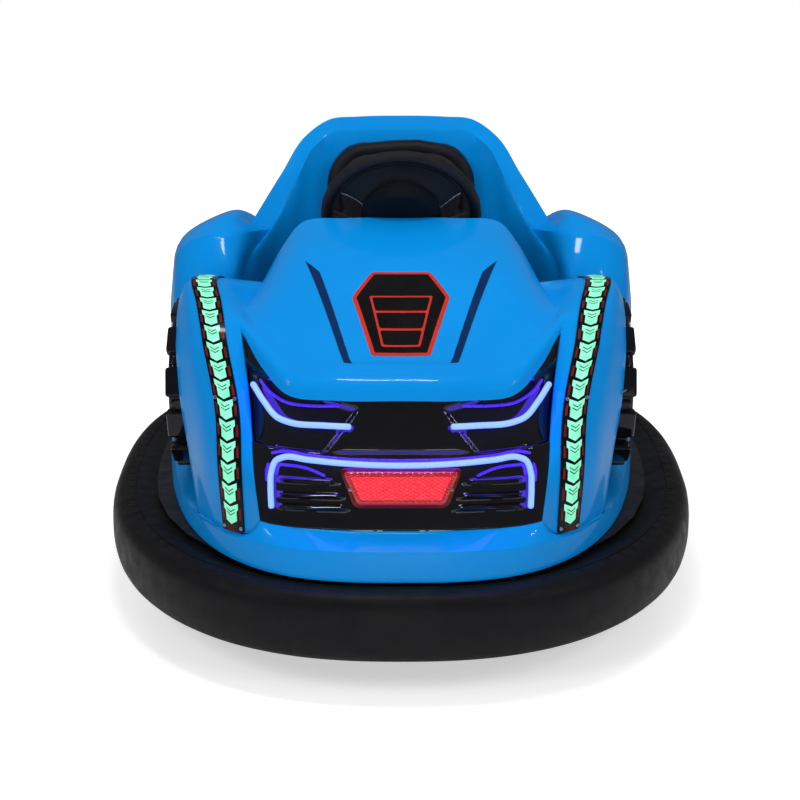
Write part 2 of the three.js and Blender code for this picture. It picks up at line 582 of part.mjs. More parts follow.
// The steering tower stands on the rails over the drive wheel, and its collar carries the fork's stem.
function makeTower() {
  const y = [frontWheel.y - tower.halfLength, frontWheel.y + tower.halfLength];
  const foot = frameTop + gap;
  const half = tower.foot / 2;
  const sides = [-1, 1].map(k => k * frame.railX).flatMap(x => [
    box(x - tower.plate / 2, x + tower.plate / 2, ...y, foot, tower.z + 1),
    box(x - half, x + half, ...y, foot, foot + tower.plate),
  ]);
  const head = box(-frame.railX - half, frame.railX + half, ...y, tower.z, tower.z + tower.plate);
  const axis = [0, frontWheel.y];
  const collar = bar([...axis, tower.z], [...axis, gearboxBottom - gap], tower.collar);
  const bore = bar([...axis, frameTop], [...axis, steering.z], tower.bore, 24);
  add('steering_tower', cut(join(head, collar, ...sides), bore), steel);
}

function makeTub() {
  const w = tub.wall;
  const x = tub.halfWidth;
  const z0 = frameTop + gap;
  const floor = box(-x, x, tub.toe, tub.rear, z0, z0 + w);
  const walls = [-1, 1].map(k => box(Math.min(k * x, k * (x - w)), Math.max(k * x, k * (x - w)), tub.front,
    tub.rear,
    z0, tub.top));
  const toe = box(-x, x, tub.toe - w, tub.toe, z0, tub.top);
  const rearWall = box(-x, x, tub.rear - w, tub.rear, z0, tub.lowTop);
  const room = [rearWheel.width / 2 + rearWheel.well, rearWheel.radius + rearWheel.well];
  const wells = [-1, 1].map(k => box(k * rearWheel.x - room[0], k * rearWheel.x + room[0],
    rearWheel.y - room[1],
    rearWheel.y + room[1], 0, 2 * rearWheel.radius + rearWheel.well));
  const underSeat = box(-x - 1, x + 1, tub.lowFrom, tub.rear + 1, tub.lowTop, tub.top + 1);
  add('cockpit_tub', cut(join(floor, ...walls, toe, rearWall), ...wells, underSeat), satinBlack);

  const floorTop = z0 + w;
  const s = seat;
  add('seat_base', cut(box(-s.halfWidth, s.halfWidth, s.front, s.rear, floorTop + gap, s.top),
    box(-s.halfWidth + s.wall, s.halfWidth - s.wall, s.front + s.wall, s.rear - s.wall, 0,
      s.top - s.wall)), satinBlack);
  add('battery_pack', box(-battery.halfWidth, battery.halfWidth, battery.front,
    battery.front + battery.length,
    floorTop + gap, floorTop + gap + battery.height), satinBlack);

  const a = rad(pedal.tilt);
  const plate = box(-pedal.width / 2, pedal.width / 2, 0, pedal.thickness, 0, pedal.length)
    .applyMatrix4(new THREE.Matrix4().makeRotationX(a)).translate(pedal.x, pedal.y, floorTop + 8);
  const base = box(pedal.x - pedal.width / 2, pedal.x + pedal.width / 2, pedal.y - 60, pedal.y + 20,
    floorTop + gap,
    floorTop + 10);
  add('accelerator_pedal', join(plate, base), steel);
}

// The side entries: a step plate from the tub to the slanted wall that stands on the side skirt's ledge
// between the two wheel arches. Each is trimmed clear of the panels round it.
function makeEntries(pieces) {
  const top = tub.top + 1;
  const inner = tub.halfWidth + gap;
  const outline = [[inner, entry.front - 8], [412, entry.front - 8], [446, 62], [446, 76], [356, 88],
    [336, 156],
    [300, 250], [inner, 250]];
  const plate = prism('z', outline, top - entry.thickness, top);
  const arc = (cy, from, to, steps) => Array.from({ length: steps + 1 }, (_, i) => {
    const t = rad(from + (to - from) * i / steps);
    const r = mock.radius + entry.clearance;
    return [cy + r * Math.cos(t), mock.z + r * Math.sin(t)];
  });
  const outer = prism('x', [...arc(mock.frontY, -66, 8, 6), [entry.front, top - 1], [66, top - 1], [66, 425],
    [140, 392], ...arc(mock.rearY, 190, 246, 5)], 0, entry.thickness);
  outer.applyMatrix4(new THREE.Matrix4().makeShear(0, 0, entry.flare, 0, 0, 0)).translate(entry.x, 0, 0);
  const left = join(plate, outer);
  const clear = (geometry, ends) => {
    const neighbours = [...ends, pieces.seatShell];
    return cut(geometry, ...neighbours, ...neighbours.map(g => g.clone().translate(0, 0, -gap)),
      ...neighbours.map(g => g.clone().translate(0, -gap, 0)));
  };
  add('side_entry_left', clear(left, pieces.left), blue);
  add('side_entry_right', clear(mirrored(left), pieces.right), blue);
}

// ---------------------------------------------------------------- seat and cushions
function roundedOutline(x0, x1, y0, y1, r, steps = 4) {
  const corner = (cx, cy, from) => Array.from({ length: steps + 1 }, (_, i) => {
    const t = rad(from + 90 * i / steps);
    return [cx + r * Math.cos(t), cy + r * Math.sin(t)];
  });
  return [...corner(x1 - r, y1 - r, 0), ...corner(x0 + r, y1 - r, 90), ...corner(x0 + r, y0 + r, 180),
    ...corner(x1 - r, y0 + r, 270)];
}

function makeCushions(seatShell) {
  const c = cushion;
  add('seat_cushion', prism('z', roundedOutline(-c.halfWidth, c.halfWidth, c.front, c.rear, c.corner),
    seat.top + gap,
    seat.top + gap + c.thickness), vinyl);
  const b = back;
  const arc = Array.from({ length: 9 }, (_, i) => {
    const t = rad(180 * i / 8);
    const side0 = Math.sign(Math.cos(t)) || 0;
    return [side0 * (b.halfWidth - b.corner) + b.corner * Math.cos(t),
      b.top - b.corner + b.corner * Math.sin(t)];
  });
  const outline = [[-b.halfWidth, b.bottom], [b.halfWidth, b.bottom], ...arc];
  const pad = prism('y', outline, b.rear - b.thickness, b.rear);
  pad.translate(0, 0, -b.bottom);
  pad.applyMatrix4(new THREE.Matrix4().makeShear(0, 0, 0, 0, 0, Math.tan(rad(b.lean)))).translate(0, 0,
    b.bottom);
  add('back_cushion', cut(pad, seatShell, seatShell.clone().translate(0, -gap, 0)), vinyl);
}

// ---------------------------------------------------------------- wheels and steering
function tyre(radius, width, hub, centre, sides) {
  const h = width / 2;
  const r = width * 0.22;
  return turnedX([[hub, -h + 4], [radius - r, -h], [radius - r * 0.3, -h + r * 0.35], [radius, -h + r],
    [radius, h - r],
    [radius - r * 0.3, h - r * 0.35], [radius - r, h], [hub, h - 4], [hub, -h + 4]], centre, sides);
}

function makeDrive() {
  const w = frontWheel;
  const centre = [0, w.y, w.radius];
  add('drive_tyre', tyre(w.radius, w.width, w.hub + gap, centre, 28), rubber);
  const half = w.width / 2 - 6;
  const reach = fork.legX - gap;
  add('drive_motor_hub', turnedX([[0, -reach], [w.axle, -reach], [w.axle, -half], [w.hub, -half],
    [w.hub, half],
    [w.axle, half], [w.axle, reach], [0, reach]], centre, 28), zinc);

  const legs = [-1, 1].map(k => {
    const x = [k * fork.legX, k * (fork.legX + fork.leg)].sort((a, b) => a - b);
    return box(...x, w.y - fork.legWidth / 2, w.y + fork.legWidth / 2, w.radius - 25, fork.crownZ + 1);
  });
  const crown = box(-fork.legX - fork.leg, fork.legX + fork.leg, w.y - fork.legWidth / 2,
    w.y + fork.legWidth / 2,
    fork.crownZ, fork.crownZ + fork.crown);
  const stem = bar([0, w.y, fork.crownZ + 1], [0, w.y, gearboxBottom + fork.inGearbox], fork.stem, 24);
  add('steering_fork', join(...legs, crown, stem), steel);

  const r = rearWheel;
  const beam = box(-r.x + r.width / 2 + 15, r.x - r.width / 2 - 15, r.y - 12, r.y + 12, r.radius - 12,
    r.radius + 12);
  const shaft = bar([-r.x - r.width / 2 - 8, r.y, r.radius], [r.x + r.width / 2 + 8, r.y, r.radius],
    r.axle, 24);
  const nuts = [-1, 1].map(k => bar([k * (r.x + r.width / 2 + 3), r.y, r.radius],
    [k * (r.x + r.width / 2 + 9), r.y, r.radius], 15, 6));
  const hangers = [-1, 1].map(k => box(k * frame.railX - 12, k * frame.railX + 12, r.y - 20, r.y + 20,
    r.radius,
    frame.z - gap));
  add('rear_axle', join(beam, shaft, ...nuts, ...hangers), steel);
  [['left', 1], ['right', -1]].forEach(([name, k]) => {
    const c = [k * r.x, r.y, r.radius];
    const h = r.width / 2;
    add('rear_tyre_' + name, tyre(r.radius, r.width, r.hub + gap, c, 24), rubber);
    add('rear_hub_' + name, turnedX([[r.bore, -h], [20, -h], [20, -h + 8], [r.hub, -h + 8], [r.hub, h - 8],
      [20, h - 8],
      [20, h], [r.bore, h], [r.bore, -h]], c, 24), zinc);
  });
}

function makeSteering(bonnet) {
  const s = steering;
  const at = onColumn;
  const casing = box(-gearbox.halfWidth, gearbox.halfWidth, frontWheel.y - gearbox.halfLength,
    frontWheel.y + gearbox.halfLength, gearboxBottom, gearboxBottom + gearbox.height);
  const axis = [0, frontWheel.y];
  const stemBore = bar([...axis, gearboxBottom - 1], [...axis, gearboxBottom + fork.inGearbox + 4],
    tower.bore, 24);
  const shaftBore = bar(at(s.inGearbox - 3 - columnRun), at(0), s.bore);
  const hubEnd = -s.dish - s.hubHalf;
  const jacket = bar(at(gearbox.halfLength - columnRun), at(hubEnd - s.clearance), s.jacket);
  add('steering_column', cut(join(casing, jacket), stemBore, shaftBore), steel);

  const plate = box(-dash.halfWidth, dash.halfWidth, dash.y, dash.y + dash.thickness, dash.bottom, dash.top);
  const columnHole = bar(at(-columnRun), at(0), s.jacket + gap);
  add('dash_panel', cut(plate, columnHole, bonnet, bonnet.clone().translate(0, -gap, 0)), satinBlack);

  const grip = new THREE.TorusGeometry(s.rimRadius, s.rimTube, 8, 32);
  const hub = bar([0, 0, hubEnd], [0, 0, s.hubHalf - s.dish], s.hub, 24);
  const spokes = [0, 90, 180].map(deg => bar([s.hub - s.spoke, 0, -s.dish], [s.rimRadius, 0, 0], s.spoke, 8)
    .rotateZ(rad(deg)));
  const shaft = bar([0, 0, s.inGearbox - columnRun], [0, 0, hubEnd + 1], s.shaft);
  add('steering_wheel', join(grip, hub, shaft, ...spokes).rotateX(rad(s.dip - 90)).translate(...at(0)),
    vinyl);
}

// Mock road wheels with square tread lugs and a shallow dish, each on a boss from the cockpit's side wall.
function mockWheel(y, outer) {
  const m = mock;
  const inner = outer - m.width;
  const face = outer - m.dishDepth;
  const profile = [[0, inner], [m.tread, inner], [m.tread, outer], [m.dish, outer], [m.dish - 10, face],
    [0, face]];
  const drum = turnedX(profile, [0, y, m.z], 20);
  const lugs = Array.from({ length: m.lugs }, (_, i) => box(inner + 20, outer + 4, -m.lugLength / 2,
    m.lugLength / 2,
    m.tread - m.lugRoot, m.radius).rotateX(2 * Math.PI * (i + 0.5) / m.lugs).translate(0, y, m.z));
  const boss = bar([tub.halfWidth + gap, y, m.z], [inner + 1, y, m.z], m.boss, 12);
  return join(drum, ...lugs, boss);
}

function makeMockWheels() {
  const frontOne = mockWheel(mock.frontY, side(mock.frontX));
  const rearOne = mockWheel(mock.rearY, side(mock.rearX));
  add('mock_wheel_front_left', frontOne, glossBlack);
  add('mock_wheel_front_right', mirrored(frontOne), glossBlack);
  add('mock_wheel_rear_left', rearOne, glossBlack);
  add('mock_wheel_rear_right', mirrored(rearOne), glossBlack);
}

const pieces = makeShell();
makeBumper();
makeChassis();
makeTower();
makeTub();
makeEntries(pieces);
makeCushions(pieces.seatShell);
makeDrive();
makeSteering(pieces.bonnet);
makeMockWheels();
export default model;
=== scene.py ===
# %% [markdown]
# # A battery bumper car
# One rider sits in an open cockpit. A soft ring goes all round the car, and a moulded shell with light
# strips sits on it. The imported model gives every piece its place, so this script starts by loading it and
# builds finer shapes and finishes round the same lines.

# %% Load the frame
import copy
import math

import bmesh
import bpy
import numpy as np
from mathutils import Matrix, Vector
from mathutils.bvhtree import BVHTree


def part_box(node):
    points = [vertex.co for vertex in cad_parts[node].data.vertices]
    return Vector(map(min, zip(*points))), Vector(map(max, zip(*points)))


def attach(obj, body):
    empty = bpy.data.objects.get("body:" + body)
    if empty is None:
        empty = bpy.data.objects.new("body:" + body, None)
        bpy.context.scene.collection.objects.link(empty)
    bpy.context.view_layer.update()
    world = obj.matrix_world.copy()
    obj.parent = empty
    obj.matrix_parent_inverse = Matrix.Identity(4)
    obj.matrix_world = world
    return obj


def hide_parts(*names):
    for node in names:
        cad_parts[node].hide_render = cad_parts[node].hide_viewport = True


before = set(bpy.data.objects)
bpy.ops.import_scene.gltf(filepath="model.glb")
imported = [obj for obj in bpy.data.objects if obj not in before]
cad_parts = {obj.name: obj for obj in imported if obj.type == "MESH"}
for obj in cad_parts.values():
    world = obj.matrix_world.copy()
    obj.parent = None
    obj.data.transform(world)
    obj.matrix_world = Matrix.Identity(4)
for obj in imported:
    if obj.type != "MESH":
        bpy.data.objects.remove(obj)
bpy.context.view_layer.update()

# %% [markdown]
# ## Camera
# The car is seen from straight ahead, a little above the seat. A camera is three things: a place, a
# direction and a lens. A 63 mm lens on a 36 mm sensor is a short telephoto, which keeps the nose from
# looking too big.

# %% Camera
EYE, LOOK_DOWN, LENS_MM, SENSOR_MM, SHIFT = (0, -2.802, 1.145), 16.4, 63, 36, -0.0013
camera = bpy.data.objects.new("camera", bpy.data.cameras.new("camera"))
bpy.context.collection.objects.link(camera)
camera.location = EYE
camera.rotation_euler = (math.radians(90 - LOOK_DOWN), 0, 0)
camera.data.lens, camera.data.sensor_width, camera.data.shift_x = LENS_MM, SENSOR_MM, SHIFT
bpy.context.scene.camera = camera
print("camera", EYE, "down", LOOK_DOWN)

# %% [markdown]
# ## Shared surface effects
# Real surfaces vary: paint is a little cloudy, plastic is grained, edges wear pale and dust lies on top. On
# the rubber ring the same top mask also paints a brownish sheen.
# Each effect is a node group with its own inputs, built once and placed in every material that needs it.
# A group gives out only a mask or a height. The shader stays in the material.

# %% Node groups
def node_group(name, inputs, output):
    group = bpy.data.node_groups.new(name, "ShaderNodeTree")
    for label, value in inputs.items():
        socket = group.interface.new_socket(label, in_out="INPUT", socket_type="NodeSocketFloat")
        socket.default_value = value
    group.interface.new_socket(output, in_out="OUTPUT", socket_type="NodeSocketFloat")
    return group, group.nodes.new("NodeGroupInput"), group.nodes.new("NodeGroupOutput")


def wire(tree, source, target):
    tree.links.new(source, target)


def texture(tree, kind, scale, **settings):
    place = tree.nodes.new("ShaderNodeTexCoord")
    node = tree.nodes.new(kind)
    for label, value in settings.items():
        if label in node.inputs:
            node.inputs[label].default_value = value
        else:
            setattr(node, label, value)
    wire(tree, place.outputs["Object"], node.inputs["Vector"])
    wire(tree, scale, node.inputs["Scale"])
    return node


def map_range(tree, source, low, high, out_low, out_high):
    node = tree.nodes.new("ShaderNodeMapRange")
    wire(tree, source, node.inputs["Value"])
    for label, value in (("From Min", low), ("From Max", high), ("To Min", out_low), ("To Max", out_high)):
        if isinstance(value, (int, float)):
            node.inputs[label].default_value = value
        else:
            wire(tree, value, node.inputs[label])
    return node.outputs["Result"]


def build_cloud():
    group, given, out = node_group("cloudy mask", {"Scale": 6, "Low": 0, "High": 1}, "Mask")
    noise = texture(group, "ShaderNodeTexNoise", given.outputs["Scale"], Detail=5, Roughness=0.6)
    wire(group, map_range(group, noise.outputs[0], 0.35, 0.65, given.outputs["Low"], given.outputs["High"]),
         out.inputs[0])
    return group


def build_grain():
    group, given, out = node_group("fine grain", {"Scale": 900}, "Height")
    noise = texture(group, "ShaderNodeTexNoise", given.outputs["Scale"], Detail=3, Roughness=0.7)
    wire(group, noise.outputs[0], out.inputs[0])
    return group


def build_pebble():
    group, given, out = node_group("pebbled hide", {"Scale": 420}, "Height")
    cells = texture(group, "ShaderNodeTexVoronoi", given.outputs["Scale"], feature="DISTANCE_TO_EDGE")
    wire(group, map_range(group, cells.outputs["Distance"], 0.0, 0.25, 0.0, 1.0), out.inputs[0])
    return group


def build_dust_and_sheen():
    group, given, out = node_group("settled dust and sheen", {"Scale": 40, "Amount": 0.3}, "Mask")
    shape = group.nodes.new("ShaderNodeNewGeometry")
    split = group.nodes.new("ShaderNodeSeparateXYZ")
    wire(group, shape.outputs["Normal"], split.inputs[0])
    noise = texture(group, "ShaderNodeTexNoise", given.outputs["Scale"], Detail=8, Roughness=0.75)
    facing_up = map_range(group, split.outputs["Z"], 0.2, 1.0, 0.0, given.outputs["Amount"])
    patches = map_range(group, noise.outputs[0], 0.45, 0.75, 0.0, 1.0)
    both = group.nodes.new("ShaderNodeMath")
    both.operation = "MULTIPLY"
    wire(group, facing_up, both.inputs[0])
    wire(group, patches, both.inputs[1])
    wire(group, both.outputs[0], out.inputs[0])
    return group


def build_wear():
    group, given, out = node_group("rubbed edges", {"Amount": 0.5}, "Mask")
    shape = group.nodes.new("ShaderNodeNewGeometry")
    wire(group, map_range(group, shape.outputs["Pointiness"], 0.52, 0.62, 0.0, given.outputs["Amount"]),
         out.inputs[0])
    return group


CLOUD, GRAIN, PEBBLE, DUST_AND_SHEEN, WEAR = build_cloud(), build_grain(), build_pebble(), build_dust_and_sheen(), build_wear()
print("groups", [g.name for g in bpy.data.node_groups])

# %% [markdown]
# ## Finishes
# A finish is one Principled shader. Its colour runs between two close shades through the cloudy mask, its
# roughness varies the same way, and its grain goes to a Bump node. Gloss paint also gets a clear coat.

# %% Finish maker
def place_group(tree, group, **values):
    node = tree.nodes.new("ShaderNodeGroup")
    node.node_tree = group
    for label, value in values.items():
        node.inputs[label].default_value = value
    return node.outputs[0]


def mix_colour(tree, mask, first, second):
    node = tree.nodes.new("ShaderNodeMix")
    node.data_type = "RGBA"
    wire(tree, mask, node.inputs["Factor"])
    for label, value in (("A", first), ("B", second)):
        socket = [s for s in node.inputs if s.name == label and s.type == "RGBA"][0]
        if isinstance(value, tuple):
            socket.default_value = (*value, 1)
        else:
            wire(tree, value, socket)
    return [s for s in node.outputs if s.type == "RGBA"][0]


def finish(name, colour, shade, rough, cloud=7, grain=None, depth=0.0, pebble=None, dust=0.0,
           dust_and_sheen_colour=(0.25, 0.24, 0.22), wear=0.0, wear_colour=(0.2, 0.2, 0.2), **constants):
    material = bpy.data.materials.new(name)
    material.use_nodes = True
    tree = material.node_tree
    shader = tree.nodes["Principled BSDF"]
    tint = mix_colour(tree, place_group(tree, CLOUD, Scale=cloud), colour, shade)
    if dust:
        tint = mix_colour(tree, place_group(tree, DUST_AND_SHEEN, Amount=dust), tint, dust_and_sheen_colour)
    if wear:
        tint = mix_colour(tree, place_group(tree, WEAR, Amount=wear), tint, wear_colour)
    wire(tree, tint, shader.inputs["Base Color"])
    wire(tree, place_group(tree, CLOUD, Scale=cloud * 3.7, Low=rough[0], High=rough[1]),
         shader.inputs["Roughness"])
    if grain or pebble:
        bump = tree.nodes.new("ShaderNodeBump")
        bump.inputs["Distance"].default_value = depth
        height = place_group(tree, GRAIN, Scale=grain) if grain else place_group(tree, PEBBLE, Scale=pebble)
        wire(tree, height, bump.inputs["Height"])
        wire(tree, bump.outputs["Normal"], shader.inputs["Normal"])
    for label, value in constants.items():
        shader.inputs[label.replace("_", " ")].default_value = value
    return material


def film(name, colour, shade, rough, cloud=20, **constants):
    """A thin printed film with a light clear coat."""
    return finish(name, colour, shade, rough, cloud, Coat_Weight=0.25, Coat_Roughness=0.05,
                  Specular_IOR_Level=0.08, **constants)


GLOSS = {"Coat_Weight": 0.45, "Coat_Roughness": 0.03, "Specular_IOR_Level": 0.1}
COVER = {"cloud": 12, "grain": 900, "depth": 0.0001}
BLUE = finish("blue gelcoat", (0.001, 0.252, 0.705), (0.001, 0.236, 0.665), (0.30, 0.40), cloud=3, grain=160,
              depth=0.00005, Coat_Weight=0.3, Coat_Roughness=0.03, Specular_IOR_Level=0.04)
BLACK_GLOSS = finish("black gelcoat", (0.003, 0.003, 0.005), (0.005, 0.005, 0.008), (0.1, 0.18), cloud=5,
                     grain=160, depth=0.00008, **GLOSS)
MASK_GLOSS = finish("polished black mask", (0.0025, 0.0025, 0.0045), (0.004, 0.004, 0.006), (0.1, 0.18),
                    cloud=5, grain=160, depth=0.00008, Coat_Weight=0.9, Coat_Roughness=0.025,
                    Specular_IOR_Level=0.1)
# Up-facing patches of the ring turn brownish: partly settled dust, partly a painted sheen on its top.
RUBBER = finish("bumper rubber", (0.0032, 0.0034, 0.0046), (0.0055, 0.0052, 0.006), (0.42, 0.56), cloud=9,
                grain=700, depth=0.0002, dust=0.05, dust_and_sheen_colour=(0.075, 0.06, 0.05), Specular_IOR_Level=0.2)
TYRE = finish("wheel rubber", (0.016, 0.016, 0.017), (0.028, 0.027, 0.026), (0.62, 0.78), cloud=12, grain=900,
              depth=0.0002, dust=0.25)
STEEL = finish("black painted steel", (0.014, 0.014, 0.016), (0.022, 0.022, 0.025), (0.36, 0.5), cloud=14,
               grain=500, depth=0.00015, wear=0.4, wear_colour=(0.16, 0.155, 0.15))
SATIN = finish("satin black plastic", (0.008, 0.008, 0.010), (0.014, 0.014, 0.016), (0.42, 0.56), cloud=10,
               grain=1100, depth=0.00018, dust=0.05, Specular_IOR_Level=0.3)
VINYL = finish("black vinyl", (0.0055, 0.0055, 0.008), (0.0095, 0.0095, 0.013), (0.34, 0.46), cloud=11,
               pebble=420, depth=0.00018, Specular_IOR_Level=0.3)
PIPING = finish("piping vinyl", (0.006, 0.006, 0.008), (0.011, 0.011, 0.014), (0.3, 0.4), cloud=15,
                pebble=700, depth=0.0001, Specular_IOR_Level=0.3)
GRIP = finish("wheel grip", (0.006, 0.006, 0.009), (0.010, 0.010, 0.014), (0.36, 0.5), cloud=14, pebble=650,
              depth=0.0002, Specular_IOR_Level=0.3)
HUB_GREY = finish("hub cover", (0.008, 0.0095, 0.013), (0.012, 0.014, 0.018), (0.4, 0.52),
                  Specular_IOR_Level=0.15, **COVER)
HUB_DARK = finish("hub dome", (0.003, 0.0035, 0.0055), (0.005, 0.0055, 0.008), (0.4, 0.52),
                  Specular_IOR_Level=0.12, **COVER)
ZINC = finish("zinc plated metal", (0.55, 0.56, 0.58), (0.43, 0.44, 0.46), (0.22, 0.38), cloud=60, grain=800,
              depth=0.00006, Metallic=1.0)
CAST = finish("cast aluminium", (0.50, 0.50, 0.51), (0.38, 0.38, 0.39), (0.38, 0.55), cloud=20, grain=600,
              depth=0.0002, Metallic=1.0)
FILM_BLACK = film("strip backing", (0.0022, 0.0022, 0.003), (0.004, 0.004, 0.005), (0.2, 0.3), cloud=30)
# Painted shade: navy film where the side walls of the bonnet's slots fall dark.
SLOT_SHADE_FILM = film("painted slot shade", (0.002, 0.018, 0.080), (0.002, 0.024, 0.10), (0.16, 0.24))
DECAL_RED = film("red film", (0.52, 0.028, 0.018), (0.46, 0.024, 0.015), (0.2, 0.3))
DECAL_BLACK = film("black film", (0.0028, 0.0028, 0.004), (0.0045, 0.0045, 0.0055), (0.2, 0.3))
MINT = film("mint light cells", (0.16, 0.70, 0.42), (0.30, 0.86, 0.58), (0.25, 0.4), cloud=55,
            Emission_Color=(0.20, 0.75, 0.48, 1), Emission_Strength=0.36)
MINT_DARK = film("dark cell marks", (0.008, 0.09, 0.055), (0.012, 0.13, 0.08), (0.25, 0.4), cloud=55)
EDGE_RED = film("dark red edge dashes", (0.16, 0.012, 0.012), (0.10, 0.008, 0.008), (0.25, 0.4), cloud=55)
print("finishes", len(bpy.data.materials))

# %% [markdown]
# ## Light of the tubes and the lamp
# The soft tubes glow pale blue and throw a violet light on the black mask. A lit tube is too bright to keep
# its colour, so Light Path gives the eye the pale core and gives the mask the violet light.

# %% Glowing finishes
def show_either(tree, choice, first, second):
    """Gives the surface the first shader where the choice is 0 and the second where it is 1."""
    either = tree.nodes.new("ShaderNodeMixShader")
    for socket, source in zip(either.inputs, (choice, first.outputs[0], second.outputs[0])):
        wire(tree, source, socket)
    wire(tree, either.outputs[0], tree.nodes["Material Output"].inputs["Surface"])


def glowing(name, seen, seen_strength, thrown, thrown_strength):
    material = finish(name, seen, seen, (0.25, 0.35), cloud=30, grain=500, depth=0.00005)
    tree = material.node_tree
    near = tree.nodes["Principled BSDF"]
    near.inputs["Emission Color"].default_value = (*seen, 1)
    near.inputs["Emission Strength"].default_value = seen_strength
    far = tree.nodes.new("ShaderNodeBsdfPrincipled")
    far.inputs["Base Color"].default_value = (*thrown, 1)
    far.inputs["Emission Color"].default_value = (*thrown, 1)
    far.inputs["Emission Strength"].default_value = thrown_strength
    show_either(tree, tree.nodes.new("ShaderNodeLightPath").outputs["Is Camera Ray"], far, near)
    return material


TUBE = glowing("lit soft tube", (0.22, 0.38, 0.95), 0.62, (0.10, 0.05, 1.0), 11.0)
LENS = finish("red prism lens", (0.62, 0.006, 0.010), (0.45, 0.004, 0.008), (0.08, 0.16), cloud=60,
              Emission_Color=(1.0, 0.03, 0.075, 1), Emission_Strength=0.52, Coat_Weight=1.0,
              Coat_Roughness=0.03)
LENS_EDGE = finish("dark prism edge", (0.30, 0.004, 0.008), (0.20, 0.003, 0.006), (0.08, 0.16), cloud=60,
                   Emission_Color=(1.0, 0.01, 0.03, 1), Emission_Strength=0.2, Coat_Weight=1.0,
                   Coat_Roughness=0.03)
BEZEL_RED = finish("dark red lamp rim", (0.13, 0.004, 0.006), (0.09, 0.003, 0.004), (0.12, 0.2), cloud=40,
                   grain=500, depth=0.00005, **GLOSS)
# A painted violet glow: thin strips beside the tubes glow like the tubes' light falling on the mask.
PAINTED_TUBE_GLOW = finish("painted violet glow", (0.02, 0.008, 0.3), (0.03, 0.012, 0.36), (0.25, 0.35), cloud=30,
                Emission_Color=(0.06, 0.016, 0.62, 1), Emission_Strength=0.8)
print("glow", TUBE.name, LENS.name)

# %% [markdown]
# ## Making a mesh
# Most pieces here are a list of points and a list of faces. This helper makes the object, shades it
# smoothly where its faces meet gently, and says on which body it rides.

# %% Mesh helpers
SMOOTH_ANGLE = 35


def piece(name, points, faces, material, sharp=SMOOTH_ANGLE):
    mesh = bpy.data.meshes.new(name)
    mesh.from_pydata([tuple(map(float, p)) for p in points], [], [tuple(map(int, f)) for f in faces])
    mesh.validate()
    made = bpy.data.objects.new(name, mesh)
    bpy.context.collection.objects.link(made)
    mesh.materials.append(material)
    mesh.shade_smooth()
    mesh.set_sharp_from_angle(angle=math.radians(sharp))
    return made


def settle(made, slot, *nodes, body="chassis"):
    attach(made, body)
    if nodes:
        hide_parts(*nodes)
    print(made.name, "triangles", sum(len(p.vertices) - 2 for p in made.data.polygons))
    return made


def add(name, shape, material, slot, *nodes, sharp=SMOOTH_ANGLE, body="chassis"):
    return settle(piece(name, *shape, material, sharp), slot, *nodes, body=body)


def add_pair(name, shape, material, slot, left=(), right=(), sharp=SMOOTH_ANGLE):
    """The shape on the car's left side, and its mirror image on the right."""
    add(name + "_left", shape, material, slot, *left, sharp=sharp)
    add(name + "_right", mirror_x(*shape), material, slot, *right, sharp=sharp)


def ring_faces(rings, sides, closed=False):
    """The faces between rings of points. An open row of rings has a cap at each end."""
    starts = [i * sides for i in range(rings)]
    ends = starts[1:] + starts[:1] if closed else starts[1:]
    faces = [(a + k, a + (k + 1) % sides, b + (k + 1) % sides, b + k)
             for a, b in zip(starts, ends) for k in range(sides)]
    if not closed:
        faces += [tuple(range(sides))[::-1], tuple(range((rings - 1) * sides, rings * sides))]
    return faces


def tube_mesh(points, radius, sides=12, closed=False, up=None):
    """A tube along a line of points, with rounded ends. Its frame turns as little as it can."""
    points = np.asarray(points, float)
    count = len(points)
    radii = np.full(count, float(radius))
    if not closed:
        along = points[-1] - points[-2]
        first = points[0] - points[1]
        cap = np.array([0.35, 0.75, 0.97])
        reach = np.array([0.97, 0.75, 0.3]) * radius
        head = [points[0] + first / np.linalg.norm(first) * r for r in reach]
        foot = [points[-1] + along / np.linalg.norm(along) * r for r in reach[::-1]]
        points = np.vstack([head, points, foot])
        radii = np.concatenate([cap * radius, radii, cap[::-1] * radius])
        count = len(points)
    if closed:
        tangents = np.roll(points, -1, 0) - np.roll(points, 1, 0)
    else:
        tangents = np.gradient(points, axis=0)
    tangents /= np.linalg.norm(tangents, axis=1)[:, None]
    side = np.cross(tangents[0], up if up is not None else (0.31, 0.17, 0.93))
    side /= np.linalg.norm(side)
    rings = []
    angles = 2 * np.pi * np.arange(sides) / sides
    for p, t, r in zip(points, tangents, radii):
        if up is not None:
            side = np.cross(t, up)
        side = side - t * side.dot(t)
        side /= np.linalg.norm(side)
        over = np.cross(t, side)
        rings.append(p + r * (np.cos(angles)[:, None] * side + np.sin(angles)[:, None] * over))
    return np.vstack(rings), ring_faces(count, sides, closed)


def join_parts(parts):
    """Several (points, faces) pairs as one pair."""
    points, faces, start = [], [], 0
    for some_points, some_faces in parts:
        points.extend(some_points)
        faces.extend(tuple(i + start for i in face) for face in some_faces)
        start += len(some_points)
    return points, faces


def mirror_x(points, faces):
    return [(-p[0], p[1], p[2]) for p in points], [tuple(face[::-1]) for face in faces]


TUBE_SHARP = 60
print("helpers ready")

# %% [markdown]
# ## Plan outline and the soft ring
# The ring is an inflated tyre. Its outline is a blend of a circle and a rectangle, a superellipse. A band of
# one cross-section swept along that outline gives the whole ring.

# %% Outline and sweep
MM = 0.001
HALF_WIDTH, HALF_LENGTH, CENTRE_Y = 600, 720, -50


